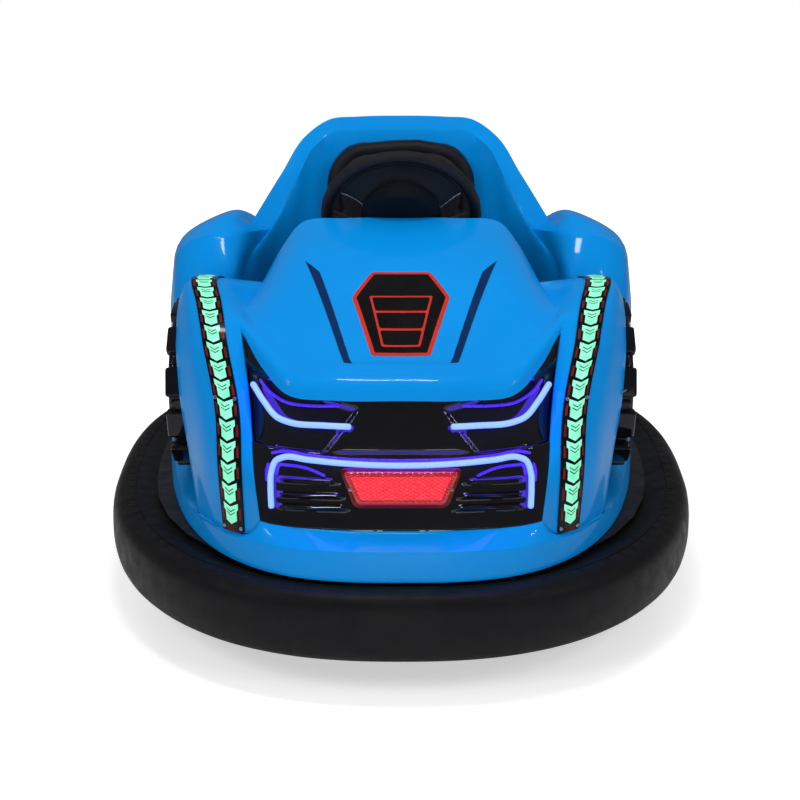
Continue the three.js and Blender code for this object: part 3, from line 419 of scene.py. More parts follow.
def plan_loop(insets, count):
    """The outline moved inwards by each inset, as an array of inset, point, (x, y) in millimetres."""
    t = 2 * np.pi * (np.arange(1440) + 0.5) / 1440
    c, s = np.cos(t), np.sin(t)
    power = np.where(s < 0, 2.4, 2.6)
    reach = np.where(s < 0, HALF_LENGTH + CENTRE_Y, HALF_LENGTH - CENTRE_Y)
    y = CENTRE_Y + reach * np.sign(s) * np.abs(s) ** (2 / power)
    x = np.sign(c) * np.abs(c) ** (2 / power) * (1 + 0.12 * y / 1000)
    x *= HALF_WIDTH / x.max()
    line = np.stack([x, y], 1)
    steps = np.linalg.norm(np.roll(line, -1, 0) - line, axis=1)
    run = np.concatenate([[0], np.cumsum(steps)])
    at = run[-1] * np.arange(count) / count
    wrap = np.vstack([line, line[:1]])
    even = np.stack([np.interp(at, run, wrap[:, k]) for k in range(2)], 1)
    way = np.roll(line, -9, 0) - np.roll(line, 9, 0)
    way = np.vstack([way, way[:1]])
    way = np.stack([np.interp(at, run, way[:, k]) for k in range(2)], 1)
    way /= np.linalg.norm(way, axis=1)[:, None]
    out = np.stack([way[:, 1], -way[:, 0]], 1)
    return even[None] - np.asarray(insets, float)[:, None, None] * out[None]


def closed_curve(points, steps):
    """A smooth closed line through the points."""
    p = np.asarray(points, float)
    out = []
    for i in range(len(p)):
        a, b, c, d = (p[(i + k) % len(p)] for k in (-1, 0, 1, 2))
        for t in np.arange(steps) / steps:
            out.append(0.5 * (2 * b + (c - a) * t + (2 * a - 5 * b + 4 * c - d) * t ** 2
                              + (3 * b - a - 3 * c + d) * t ** 3))
    return np.array(out)


def hoop(section, count):
    section = np.asarray(section, float)
    loops = plan_loop(section[:, 0], count)
    high = np.repeat(section[:, 1][:, None, None], count, 1)
    points = np.concatenate([loops, high], 2).reshape(-1, 3) * MM
    starts = [s * count for s in range(len(section))]
    faces = [(a + k, b + k, b + (k + 1) % count, a + (k + 1) % count)
             for a, b in zip(starts, starts[1:] + starts[:1]) for k in range(count)]
    return points, faces


# Cross-section of the ring: distance in from the outline and height, up the outer wall and over the top.
RING_SECTION = [(34, 67), (12, 84), (4.5, 108), (3.5, 132), (4.5, 156), (9, 176), (22, 190), (42, 194.5),
                (64, 192.5), (88, 188), (106, 188), (120, 191), (134, 187), (145, 172), (149.4, 148),
                (149.4, 104), (143, 76), (122, 60), (90, 57), (62, 59)]
add("bumper_ring", hoop(closed_curve(RING_SECTION, 3), 280), RUBBER, "bumper_rubber", "bumper_tyre")

# %% [markdown]
# ## Smooth skins
# The shell is a moulding with soft curves and a few sharp creases. A grid of control points holds it: rows
# go over the car, columns go outwards. The same grid shapes the CAD, so both agree, and here each gap
# between controls gets many more steps.

# %% Skin helpers
def smooth_line(points, steps, creases):
    """Smooth lines through an array of control points, shape (controls, lines, 3)."""
    dist = np.linalg.norm(np.diff(points, axis=0), axis=2)
    slope = np.diff(points, axis=0) / dist[..., None]
    last = len(points) - 1

    def tangent(i, into_next):
        if i == 0:
            return slope[0]
        if i == last:
            return slope[-1]
        if i in creases:
            return slope[i] if into_next else slope[i - 1]
        w = (dist[i - 1] / (dist[i - 1] + dist[i]))[:, None]
        return slope[i - 1] * (1 - w) + slope[i] * w

    out = []
    for i in range(last):
        m0 = tangent(i, True) * dist[i][:, None]
        m1 = tangent(i + 1, False) * dist[i][:, None]
        for t in np.arange(steps[i]) / steps[i]:
            out.append(points[i] * (2 * t ** 3 - 3 * t ** 2 + 1) + m0 * (t ** 3 - 2 * t ** 2 + t)
                       + points[i + 1] * (3 * t ** 2 - 2 * t ** 3) + m1 * (t ** 3 - t ** 2))
    out.append(points[last])
    return np.array(out)


class Skin:
    """A fine grid through control rows and columns. Column 0 is the centre plane."""

    def __init__(self, rows, row_steps, column_steps, crease_rows, crease_columns):
        half = np.array(rows, float)
        other = half[:, :0:-1] * (-1, 1, 1)
        controls = np.concatenate([other, half], 1)
        self.centre = half.shape[1] - 1
        self.row_steps = list(row_steps)
        self.column_steps = list(column_steps[::-1]) + list(column_steps)
        creases = [self.centre + k for k in crease_columns] + [self.centre - k for k in crease_columns]
        across = smooth_line(controls.transpose(1, 0, 2), self.column_steps, creases).transpose(1, 0, 2)
        self.grid = smooth_line(across, self.row_steps, crease_rows)
        self.find_normals()

    def find_normals(self):
        g = self.grid
        n = np.cross(g[1:, 1:] - g[:-1, :-1], g[1:, :-1] - g[:-1, 1:])
        n /= np.linalg.norm(n, axis=2)[..., None]
        total = np.zeros_like(g)
        for i in (slice(None, -1), slice(1, None)):
            for j in (slice(None, -1), slice(1, None)):
                total[i, j] += n
        self.normals = total / np.linalg.norm(total, axis=2)[..., None]

    def row(self, r):
        return self.fine(self.row_steps, r)

    def column(self, c):
        return self.fine(self.column_steps, self.centre + c)

    @staticmethod
    def fine(steps, control):
        i = min(int(control), len(steps) - 1)
        return sum(steps[:i]) + steps[i] * (control - i)

    def spot(self, row, column, lift=0.0):
        """The point and normal at fractional control row and column."""
        r, c = self.row(row), self.column(column)
        i, j = min(int(r), self.grid.shape[0] - 2), min(int(c), self.grid.shape[1] - 2)
        f, g = r - i, c - j
        weights = ((i, j, (1 - f) * (1 - g)), (i + 1, j, f * (1 - g)), (i, j + 1, (1 - f) * g),
                   (i + 1, j + 1, f * g))
        normal = sum(self.normals[a, b] * w for a, b, w in weights)
        normal /= np.linalg.norm(normal)
        return sum(self.grid[a, b] * w for a, b, w in weights) + normal * lift, normal

    def cells(self, row_low, row_high, column_low, column_high):
        """The fine cells between control rows and columns, as a mask."""
        out = np.zeros((self.grid.shape[0] - 1, self.grid.shape[1] - 1), bool)
        r0, r1 = round(self.row(row_low)), round(self.row(row_high))
        c0, c1 = round(self.column(column_low)), round(self.column(column_high))
        out[r0:r1, c0:c1] = True
        return out


SEAM = 0.15


def slab(skin, cells, bottom, edge=1.3):
    """A solid sheet over the chosen cells of a skin, with its top edges rounded, in metres."""
    used = np.zeros(skin.grid.shape[:2], bool)
    for i in (slice(None, -1), slice(1, None)):
        for j in (slice(None, -1), slice(1, None)):
            used[i, j] |= cells
    number = -np.ones(used.shape, int)
    number[used] = np.arange(used.sum())
    points, normals = skin.grid[used], skin.normals[used]
    quads = [(number[i, j], number[i, j + 1], number[i + 1, j + 1], number[i + 1, j])
             for i, j in zip(*np.nonzero(cells))]
    owner = {}
    for q in quads:
        for k in range(4):
            owner[(q[k], q[(k + 1) % 4])] = q
    border = [(a, b) for a, b in owner if (b, a) not in owner]
    pull = np.zeros_like(points)
    for a, b in border:
        centre = points[list(owner[(a, b)])].mean(0)
        way = points[b] - points[a]
        way /= np.linalg.norm(way)
        into = centre - (points[a] + points[b]) / 2
        into -= way * into.dot(way)
        into /= np.linalg.norm(into)
        pull[a] += into
        pull[b] += into
    rim = sorted({v for e in border for v in e})
    for v in rim:
        pull[v] /= np.linalg.norm(pull[v])
    centred = np.abs(points[:, 0]) < 1e-6
    pull[centred, 0] = 0
    count = len(points)
    place = {v: i for i, v in enumerate(rim)}
    flat = points.copy()
    flat[rim] = (points + pull * (edge + SEAM))[rim]
    under = points + normals * bottom
    under[rim] = (points + pull * SEAM + normals * bottom)[rim]
    levels = [(0.3 * edge + SEAM, -0.3 * edge), (SEAM, -edge)]
    rings = [(points + pull * p + normals * z)[rim] for p, z in levels]
    out = np.vstack([flat, under, *rings]) * MM
    faces = list(quads) + [tuple(count + v for v in q[::-1]) for q in quads]
    first, second = 2 * count, 2 * count + len(rim)
    for a, b in border:
        i, j = place[a], place[b]
        stack = [(a, b), (first + i, first + j), (second + i, second + j), (count + a, count + b)]
        for (p, q), (r, s) in zip(stack, stack[1:]):
            faces.append((q, p, r, s))
    return out, faces


print("skin helpers ready")

# %% [markdown]
# ## The front shell
# The bonnet and both front fenders are one moulding, with an opening for the black mask. Its control
# points are measured in from the widest line when x is negative, and back from the nose for y.

# %% Front control grid
def front_point(entry):
    x, d, z = entry
    return (HALF_WIDTH + x if x < 0 else x, -HALF_LENGTH + d, z)


FRONT_ROWS = [[front_point(e) for e in row] for row in [
    # foot of the mask, and the ledge's inner line
    [(0, 118, 268), (110, 120, 269), (188, 127, 272), (222, 133, 275), (-360, 140, 277),
     (-336, 166, 243), (-310, 180, 242), (-285, 202, 241), (-232, 285, 240)],
    # lower mask
    [(0, 140, 345), (110, 143, 345), (188, 152, 346), (225, 162, 347), (-349, 172, 348),
     (-329, 184, 345), (-304, 190, 345), (-280, 208, 345), (-212, 335, 345)],
    # upper mask
    [(0, 160, 430), (110, 162, 430), (188, 176, 432), (230, 200, 436), (-340, 232, 440),
     (-323, 222, 442), (-299, 224, 444), (-275, 240, 442), (-199, 350, 430)],
    # top of the mask, under the bonnet's lip
    [(0, 178, 480), (110, 180, 480), (186, 196, 482), (236, 250, 511), (-319, 318, 562),
     (-295, 300, 546), (-272, 300, 548), (-249, 312, 545), (-190, 385, 505)],
    # lower edge of the lip
    [(0, 164, 482), (110, 166, 482), (187, 184, 485), (238, 244, 517), (-317, 323, 573),
     (-291, 316, 562), (-268, 316, 564), (-245, 328, 560), (-188, 400, 522)],
    # top of the lip
    [(0, 168, 498), (110, 170, 498), (187, 190, 502), (238, 252, 536), (-315, 338, 583),
     (-286, 338, 580), (-263, 338, 582), (-239, 348, 577), (-187, 418, 538)],
    # bonnet, and the fenders rising to their crests
    [(0, 250, 546), (110, 250, 545), (187, 272, 546), (236, 318, 567), (-318, 390, 585),
     (-276, 384, 604), (-253, 384, 607), (-229, 390, 603), (-185, 442, 562)],
    [(0, 390, 620), (110, 392, 619), (188, 400, 614), (236, 418, 607), (-323, 455, 588),
     (-262, 445, 623), (-238, 445, 626), (-213, 448, 623), (-184, 482, 582)],
    [(0, 540, 674), (110, 540, 673), (190, 540, 667), (232, 532, 642), (-327, 538, 594),
     (-256, 525, 618), (-232, 525, 621), (-207, 527, 618), (-182, 542, 588)],
    # rear edge of the bonnet: the cowl and its sloping shoulders
    [(0, 690, 707), (110, 690, 706), (193, 686, 700), (229, 640, 664), (-330, 606, 594),
     (-257, 600, 603), (-233, 600, 605), (-209, 600, 601), (-181, 600, 579)],
    # rear return, down to the side entries
    [(0, 696, 684), (110, 696, 683), (192, 692, 674), (236, 654, 604), (-326, 668, 545),
     (-258, 665, 573), (-234, 665, 575), (-210, 665, 572), (-182, 662, 552)],
    [(0, 698, 660), (110, 698, 659), (193, 696, 646), (242, 690, 530), (-322, 712, 446.5),
     (-258, 712, 446.5), (-234, 712, 446.5), (-211, 712, 446.5), (-183, 712, 446.5)],
]]
FRONT_COLUMNS = (12, 10, 8, 8, 6, 5, 5, 8)
FRONT_STEPS = (8, 8, 6, 3, 4, 12, 20, 14, 12, 4, 6)
WALL = 5
MASK_TOP, MASK_SIDE = 3, 4
clip = Skin(FRONT_ROWS, FRONT_STEPS, FRONT_COLUMNS, [3, 4, 9], [MASK_SIDE])

# The centre of the bonnet is let in a few millimetres, between the two slots and behind a sharp lower line.
PANEL_DEPTH, PANEL_FRONT, PANEL_BACK = 4.0, -500, -250
SLOT_FRONT, SLOT_BACK = (90, -499), (164, -243)


def ease(v):
    v = np.clip(v, 0, 1)
    return v * v * (3 - 2 * v)


def let_in(grid):
    x, y = np.abs(grid[..., 0]), grid[..., 1]
    slope = (SLOT_BACK[0] - SLOT_FRONT[0]) / (SLOT_BACK[1] - SLOT_FRONT[1])
    edge = SLOT_FRONT[0] + slope * (y - SLOT_FRONT[1])
    across = ease((edge + 4 - x) / 8)
    along = ease((y - PANEL_FRONT) / 7) * ease((PANEL_BACK - y) / 200)
    return PANEL_DEPTH * across * along


upper = np.arange(clip.grid.shape[0]) >= clip.row(4)
clip.grid[upper] -= (clip.normals * let_in(clip.grid)[..., None])[upper]
clip.find_normals()
shell_cells = clip.cells(0, 11, -8, 8) & ~clip.cells(0, MASK_TOP, -MASK_SIDE, MASK_SIDE)
front_shape = slab(clip, shell_cells, -WALL)
add("front_shell", front_shape, BLUE, "blue_shell", "bonnet", "front_fender_left", "front_fender_right")
shell_tree = BVHTree.FromPolygons([Vector(p) for p in front_shape[0]],
                                  [tuple(map(int, f)) for f in front_shape[1]])

# %% [markdown]
# ## The rear shell
# The seat back and both rear fenders are the second moulding. The same helper makes it from its own grid,
# measured forward from the tail.

# %% Rear control grid
def rear_point(entry):
    x, d, z = entry
    return (HALF_WIDTH + x if x < 0 else x, HALF_LENGTH - d, z)


REAR_ROWS = [[rear_point(e) for e in row] for row in [
    # foot of the seat recess and of the fenders' front faces
    [(0, 331, 351), (100, 331, 351), (165, 334, 351), (215, 346, 352), (-310, 400, 438),
     (-260, 570, 446.5), (-242, 640, 446.5), (-185, 652, 446.5), (-135, 630, 446.5), (-108, 562, 385)],
    [(0, 311, 620), (100, 311, 620), (168, 315, 620), (212, 328, 614), (-338, 382, 596),
     (-265, 530, 566), (-242, 612, 570), (-185, 620, 560), (-132, 600, 548), (-100, 554, 472)],
    # inner crease of the seat's chamfer
    [(0, 296, 832), (96, 296, 831), (156, 299, 828), (188, 312, 808), (-360, 350, 722),
     (-306, 410, 627), (-228, 562, 643), (-182, 568, 640), (-126, 552, 607), (-101, 514, 540)],
    # outline: seat top, shoulders, wing foot, fender peak
    [(0, 278, 866), (100, 280, 864), (160, 283, 859), (213, 292, 826), (-329, 345, 742),
     (-266, 412, 643), (-224, 505, 672), (-180, 505, 657), (-121, 500, 617), (-98, 458, 576)],
    [(0, 222, 858), (100, 224, 856), (163, 230, 848), (216, 246, 808), (-328, 292, 722),
     (-270, 325, 641), (-226, 390, 668), (-177, 392, 650), (-116, 392, 613), (-95, 385, 588)],
    # back slope
    [(0, 136, 650), (100, 137, 648), (165, 142, 636), (218, 152, 612), (-332, 166, 592),
     (-288, 182, 578), (-252, 222, 600), (-190, 242, 580), (-132, 256, 562), (-92, 270, 552)],
    # upper edge of the tail
    [(0, 76, 500), (100, 77, 498), (165, 81, 492), (218, 88, 484), (-338, 98, 476),
     (-300, 110, 468), (-258, 130, 462), (-204, 165, 450), (-152, 190, 446), (-104, 212, 438)],
    # foot of the tail
    [(0, 92, 250), (100, 94, 250), (165, 99, 250), (216, 108, 250), (-338, 122, 250),
     (-297, 142, 250), (-262, 168, 250), (-220, 200, 250), (-176, 235, 250), (-134, 262, 250)],
]]
TAIL_ROW, LAST_ROW, REAR_OUT = 6, 7, 9
REAR_COLUMNS = (8, 6, 6, 8, 8, 8, 8, 8, 6)
aft = Skin(REAR_ROWS, (8, 8, 6, 8, 10, 8, 10), REAR_COLUMNS, [2, 3], [5])
add("rear_shell", slab(aft, aft.cells(0, TAIL_ROW, -REAR_OUT, REAR_OUT), -WALL), BLUE, "blue_shell",
    "seat_shell", "rear_fender_left", "rear_fender_right")

# %% [markdown]
# ## The skirt
# A band runs round the foot of the shell, with a rounded upper edge and a ledge that runs in under the
# fenders. It is a loop, so the last row meets the first.

# %% Skirt
HEM_INSET, HEM_X, HEM_POWER = 55, 115.5, 3


def hem(angle, z, inset=0):
    c, s = math.cos(math.radians(angle)), math.sin(math.radians(angle))
    reach = HALF_LENGTH - HEM_INSET + (CENTRE_Y if s > 0 else -CENTRE_Y)
    y = CENTRE_Y - (reach - inset) * math.copysign(abs(s) ** (2 / HEM_POWER), s)
    return ((HALF_WIDTH - HEM_X - inset) * (1 + 0.35 * y / 1000) * max(c, 0) ** (2 / HEM_POWER), y, z)


FRONT_ANGLES = (90, 80.8, 69, 62, 57, 49.4, 43.1, 36.8, 25.3)
SIDE_ANGLES = (17, 8, 0.4, -4, -10, -16)
REAR_ANGLES = (-23, -30.5, -38, -45, -51.5, -59, -66, -74, -81.5, -90)
ANGLES = FRONT_ANGLES + SIDE_ANGLES + REAR_ANGLES
BAND_Z = (252, 251, 248, 246, 243, 239, 236, 234, 232, 233, 235, 236, 238, 239, 241) + (242,) * 10
hem_line = [hem(t, 200) for t in ANGLES]
band_line = [hem(t, z, 8) for t, z in zip(ANGLES, BAND_Z)]
SIDE_X = (326, 322, 322, 322, 322, 400)
first_side = len(FRONT_ANGLES)
side_line = [(x, band_line[first_side + i][1], BAND_Z[first_side + i] + 8) for i, x in enumerate(SIDE_X)]
ledge_line = FRONT_ROWS[0] + side_line + REAR_ROWS[LAST_ROW][::-1]
# A row just under the band gives its edge a tight rounding.
under_band = [tuple(a + (b - a) * 0.86 for a, b in zip(p, q)) for p, q in zip(hem_line, band_line)]
AROUND = len(ANGLES) - 1
skirt = Skin([hem_line, under_band, band_line, ledge_line], (5, 3, 8), (6,) * AROUND, [2],
             [MASK_SIDE, 9, 15, 19])
add("skirt", slab(skirt, skirt.cells(0, 3, -AROUND, AROUND), -WALL), BLUE, "blue_shell", "nose_skirt",
    "side_skirt_left", "side_skirt_right", "tail_skirt")

# %% [markdown]
# ## The black mask
# The mask fills the mouth of the nose. It has ribs beside the lamp, a plaque under the lip and pockets
# beside the plaque. All of them are heights added to a fine grid along its own normals.

# %% Mask
LAMP_ROW, LAMP_TOP, LAMP_BOTTOM, LAMP_HIGH = 0.9, 100, 75, 60
RIB_HEIGHTS, RIB_RISE = (346, 322, 303), 7.5
PLAQUE_FOOT, PLAQUE_TOP, PLAQUE_NARROW, PLAQUE_WIDE, PLAQUE_RISE = 396, 456, 66, 114, 4.0
POCKET_DEPTH = 9.0


def lamp_half(z, grow=0.0):
    share = (z - 308) / LAMP_HIGH
    return LAMP_BOTTOM + grow + (LAMP_TOP - LAMP_BOTTOM) * share


def ridge(distance, half):
    return ease(1 - np.abs(distance) / half)


def mask_height(grid):
    x, z = np.abs(grid[..., 0]), grid[..., 2]
    height = np.zeros(x.shape)
    for level in RIB_HEIGHTS:
        ends = ease((x - lamp_half(z, 17)) / 7) * ease((212 - x) / 10)
        height += RIB_RISE * ends * np.where(z > level, ridge(z - level, 9), ridge(z - level, 5))
    widening = (PLAQUE_WIDE - PLAQUE_NARROW) * (PLAQUE_TOP - z) / (PLAQUE_TOP - PLAQUE_FOOT)
    plaque_half = PLAQUE_NARROW + widening
    plaque = ease((plaque_half - x) / 5) * ease((z - 394) / 5) * ease((459 - z) / 5)
    height += PLAQUE_RISE * plaque
    pocket = ease((x - plaque_half - 10) / 8) * ease((300 - x) / 40)
    pocket *= ease((z - 384 - 0.05 * x) / 6) * ease((452 - z + 0.25 * x) / 12)
    return height - POCKET_DEPTH * pocket


def raised(skin, height):
    """A copy of the skin, pushed out along its normals by a height that changes from place to place."""
    made = copy.copy(skin)
    made.grid = skin.grid + skin.normals * height(skin.grid)[..., None]
    made.find_normals()
    return made


plain_mask = Skin(FRONT_ROWS, (40, 40, 16, 3, 4, 2, 2, 2, 2, 2, 2), (18, 14, 8, 12, 2, 2, 2, 2),
                  [3, 4, 9], [MASK_SIDE])
mask_skin = raised(plain_mask, mask_height)
add("nose_mask_panel", slab(mask_skin, mask_skin.cells(0, MASK_TOP, -MASK_SIDE, MASK_SIDE), -WALL, edge=1.0),
    MASK_GLOSS, "gloss_black", "nose_mask", sharp=50)

# %% Tail panel
def tail_height(grid):
    x, z = np.abs(grid[..., 0]), grid[..., 2]
    return sum(5.0 * ease((300 - x) / 16) * np.where(z > level, ridge(z - level, 12), ridge(z - level, 5))
               for level in (330, 362, 394))


tail_skin = raised(Skin(REAR_ROWS, (1, 1, 1, 1, 1, 1, 70), REAR_COLUMNS, [2, 3], [5]), tail_height)
add("tail_panel_ribbed", slab(tail_skin, tail_skin.cells(TAIL_ROW, LAST_ROW, -REAR_OUT, REAR_OUT), -WALL),
    BLACK_GLOSS, "gloss_black", "tail_panel", sharp=50)

# %% [markdown]
# ## The soft tubes
# Lit silicone tubes run along the lip and round the lamp. Each is swept along a smooth line of places on the
# mask, given as control row and column, a little above its surface.

# %% Soft tubes
TUBE_RADIUS, TUBE_LIFT = 5.3, 6.2
UPPER_LINE = [(2.5, 3.46), (2.38, 2.96), (2.19, 2.4), (2.16, 1.95), (2.16, 1.25), (2.15, 0.8)]
LOWER_LINE = [(0.4, 2.85), (0.8, 2.86), (1.1, 2.8), (1.34, 2.55), (1.43, 2.2), (1.43, 1.6), (1.39, 0.9),
              (1.35, 0)]


def open_curve(points, steps):
    """A smooth line through the points, spaced by the distances between them."""
    p = np.asarray(points, float)
    return smooth_line(p[:, None], (steps,) * (len(p) - 1), [])[:, 0]


upper_line = open_curve([plain_mask.spot(r, c, TUBE_LIFT)[0] for r, c in UPPER_LINE], 12) * MM
half_line = np.array([plain_mask.spot(r, c, TUBE_LIFT)[0] for r, c in LOWER_LINE])
lower_line = open_curve(np.vstack([half_line, half_line[-2::-1] * (-1, 1, 1)]), 12) * MM
for name, line, node in (("upper_tube_left", upper_line, "neon_tube_upper_left"),
                         ("upper_tube_right", upper_line * (-1, 1, 1), "neon_tube_upper_right"),
                         ("lower_tube", lower_line, "neon_tube_lower")):
    add(name, tube_mesh(line, TUBE_RADIUS * MM, 14), TUBE, "light_tube", node, sharp=TUBE_SHARP)

# Thin glowing strips beside the tubes paint the tubes' violet glow on the black mask.
GLOW_LINES = {"upper": [[(2.72, 3.16), (2.68, 2.9), (2.7, 2.5), (2.74, 2.1), (2.78, 1.5), (2.8, 0.95)]],
           "lower": [[(1.46, 2.75), (1.53, 2.3), (1.51, 1.6), (1.47, 0.9), (1.44, 0.0)],
                     [(1.1, 2.58), (1.26, 2.45), (1.28, 2.1), (1.25, 1.6), (1.13, 1.25)],
                     [(0.95, 3.12), (1.14, 3.08), (1.24, 2.98)]]}
for label, lines in GLOW_LINES.items():
    parts = []
    for line in lines:
        places = [plain_mask.spot(r, c, 1.2)[0] for r, c in line]
        outward = plain_mask.spot(*line[len(line) // 2])[1]
        parts.append(tube_mesh(open_curve(places, 8) * MM, 2.6 * MM, 10, up=outward))
    add_pair(label + "_flange", join_parts(parts), PAINTED_TUBE_GLOW, "light_tube", sharp=TUBE_SHARP)

# %% [markdown]
# ## Flat sheets cut to an outline
# Decals, lenses and plates are all a flat outline cut into small cells, then bent over what they lie on. The
# cells let the sheet follow a curve, and the outline stays exact.

# %% Sheets
def cut_sheet(outline, cell):
    """Points (n, 2) and faces of a flat outline cut by a square grid."""
    bm = bmesh.new()
    bm.faces.new([bm.verts.new((x, y, 0)) for x, y in outline])
    for axis in range(2):
        low, high = (f(p[axis] for p in outline) for f in (min, max))
        for level in np.arange(math.floor(low / cell) + 1, math.ceil(high / cell)) * cell:
            place, normal = [0, 0, 0], [0, 0, 0]
            place[axis], normal[axis] = float(level), 1
            everything = bm.verts[:] + bm.edges[:] + bm.faces[:]
            bmesh.ops.bisect_plane(bm, geom=everything, plane_co=place, plane_no=normal, dist=1e-5)
    bm.verts.index_update()
    if sum(f.normal.z * f.calc_area() for f in bm.faces) < 0:
        bmesh.ops.reverse_faces(bm, faces=bm.faces[:])
    points = np.array([v.co[:2] for v in bm.verts])
    faces = [tuple(v.index for v in f.verts) for f in bm.faces]
    bm.free()
    return points, faces


def thick(top, under, faces):
    """A closed solid from its top points, its under points and the faces they share."""
    count = len(top)
    owner = {(f[k], f[(k + 1) % len(f)]) for f in faces for k in range(len(f))}
    sides = [(b, a, count + a, count + b) for a, b in owner if (b, a) not in owner]
    return np.vstack([top, under]), list(faces) + [tuple(count + v for v in f[::-1]) for f in faces] + sides


def round_corners(outline, radius, steps=4):
    """A closed outline with rounded corners. The radius is one number, or one for each corner."""
    out = []
    for k, limit in enumerate(np.broadcast_to(radius, len(outline))):
        before, here, after = (np.array(outline[(k + i) % len(outline)], float) for i in (-1, 0, 1))
        a, b = before - here, after - here
        length = min(limit, 0.45 * np.linalg.norm(a), 0.45 * np.linalg.norm(b))
        start, end = here + a / np.linalg.norm(a) * length, here + b / np.linalg.norm(b) * length
        out += [tuple((1 - t) ** 2 * start + 2 * t * (1 - t) * here + t * t * end)
                for t in np.linspace(0, 1, steps + 1)]
    return out


def inset(outline, amount):
    """A convex outline moved inwards."""
    p = np.array(outline, float)
    area = 0.5 * np.sum(p[:, 0] * np.roll(p[:, 1], -1) - np.roll(p[:, 0], -1) * p[:, 1])
    if area < 0:
        amount = -amount
    out = []
    for k in range(len(p)):
        a, b, c = p[k - 1], p[k], p[(k + 1) % len(p)]
        d0, d1 = (b - a) / np.linalg.norm(b - a), (c - b) / np.linalg.norm(c - b)
        n0, n1 = np.array([-d0[1], d0[0]]), np.array([-d1[1], d1[0]])
        out.append(tuple(b + amount * (n0 + n1) / (1 + n0.dot(n1))))
    return out


ABOVE, DOWN = 2000, Vector((0, 0, -1))


def drape(outline, lift, thickness, cell=9):
    """A sheet laid from above on the front shell."""
    flat, faces = cut_sheet(outline, cell)
    top, under = [], []
    for a, b in flat:
        hit, normal, _, _ = shell_tree.ray_cast(Vector((a, b, ABOVE)) * MM, DOWN)
        if normal.dot(DOWN) > 0:
            normal = -normal
        top.append(hit + normal * lift * MM)
        under.append(hit + normal * (lift - thickness) * MM)
    return thick(np.array(top), np.array(under), faces)


# %% [markdown]
# ## Bonnet decals and painted slot shade
# Two long dark slots frame the bonnet's centre: navy film that paints the shade on the recess's side walls.
# A plain hexagon badge sits between them: a red edge, a black field and a small red grid. Each is thin film
# laid on the shell in layers.

# %% Bonnet decals
SLOT = [(-178.5, -223), (-150, -264), (-83.5, -500), (-97.5, -498)]
HEXAGON = [(-53.5, -270), (53.5, -270), (88, -341), (50.5, -476), (-50.5, -476), (-88, -341)]
GRID_WIDE, GRID_NARROW, GRID_TOP, GRID_FOOT, GRID_LINE = 57, 33.5, -339, -456, 4.2
GRID = [(-GRID_WIDE, GRID_TOP), (GRID_WIDE, GRID_TOP), (GRID_NARROW, GRID_FOOT), (-GRID_NARROW, GRID_FOOT)]
both_slots = (SLOT, [(-x, y) for x, y in SLOT[::-1]])
# The slots are navy film, painted as the shade on the recess's side walls.
add("bonnet_slot_shade", join_parts([drape(line, 0.9, 0.8, 4) for line in both_slots]), SLOT_SHADE_FILM, "blue_shell")
hexagon = round_corners(HEXAGON, 7)
for name, outline, lift, thickness, colour in (
        ("badge_edge", hexagon, 0.5, 0.35, DECAL_RED),
        ("badge_field", inset(hexagon, 7.4), 0.75, 0.25, DECAL_BLACK),
        ("badge_grid", round_corners(GRID, 4), 1.0, 0.25, DECAL_RED)):
    add(name, drape(outline, lift, thickness), colour, "blue_shell")


def grid_cell(high, low):
    half = [GRID_NARROW + (GRID_WIDE - GRID_NARROW) * (y - GRID_FOOT) / (GRID_TOP - GRID_FOOT) - GRID_LINE
            for y in (high, low)]
    return round_corners([(-half[0], high), (half[0], high), (half[1], low), (-half[1], low)], 4)


GRID_CELLS = ((-343, -375.5), (-380.5, -415.5), (-420.5, -452))
add("badge_grid_cells", join_parts([drape(grid_cell(a, b), 1.25, 0.25) for a, b in GRID_CELLS]), DECAL_BLACK,
    "blue_shell")

# %% [markdown]
# ## Lamp
# The lamp in the middle of the mask is a red moulding with a fine honeycomb of prisms behind a dark rim. The
# prisms are real heights on a fine sheet, because they break up the light.

# %% Lamp
def on_lamp(points, height):
    """Flat lamp coordinates, across and up, on the mask where the lamp sits."""
    centre, normal = plain_mask.spot(LAMP_ROW, 0)
    right = np.array([1.0, 0, 0])
    up = np.cross(normal, right)
    up = up if up[2] > 0 else -up
    height = np.broadcast_to(height, len(points))
    return np.array([centre + right * a + up * b + normal * h for (a, b), h in zip(points, height)]) * MM


def lamp_outline(grow, radius):
    a, b, h = LAMP_TOP + grow, LAMP_BOTTOM + grow, LAMP_HIGH / 2 + grow
    return round_corners([(-b, -h), (b, -h), (a, h), (-a, h)], radius)


def dished(points, outer, rim_height, height, width):
    """Height that rises from the outline to a flat field."""
    p = np.asarray(outer, float)
    q = np.roll(p, -1, 0)
    out = []
    for at in np.asarray(points, float):
        way = q - p
        share = np.clip(((at - p) * way).sum(1) / (way ** 2).sum(1), 0, 1)
        distance = np.linalg.norm(at - p - way * share[:, None], axis=1).min()
        out.append(rim_height + (height - rim_height) * ease(distance / width))
    return np.array(out)


body_outline = lamp_outline(4, 12)
flat, faces = cut_sheet(body_outline, 5)
add("lamp_rim", thick(on_lamp(flat, dished(flat, body_outline, 4.5, 8.0, 4)), on_lamp(flat, -2.0), faces),
    BEZEL_RED, "gloss_black", "lamp_housing")
lens_outline = lamp_outline(-2, 9)
flat, faces = cut_sheet(lens_outline, 1.5)
PRISM = 5.2
waves = sum(np.cos(2 * np.pi / PRISM * (flat @ (math.cos(a), math.sin(a)))) for a in np.radians((0, 60, 120)))
field = dished(flat, lens_outline, 0, 1, 5)
lens_top = dished(flat, lens_outline, 9.0, 11.6, 4) + 0.32 * waves * field
lens = thick(on_lamp(flat, lens_top), on_lamp(flat, 8.1), faces)
lens_piece = piece("lamp_lens_prisms", *lens, LENS, sharp=70)
lens_piece.data.materials.append(LENS_EDGE)
near_edge = {k for k, share in enumerate(dished(flat, lens_outline, 0, 1, 8)) if share < 0.98}
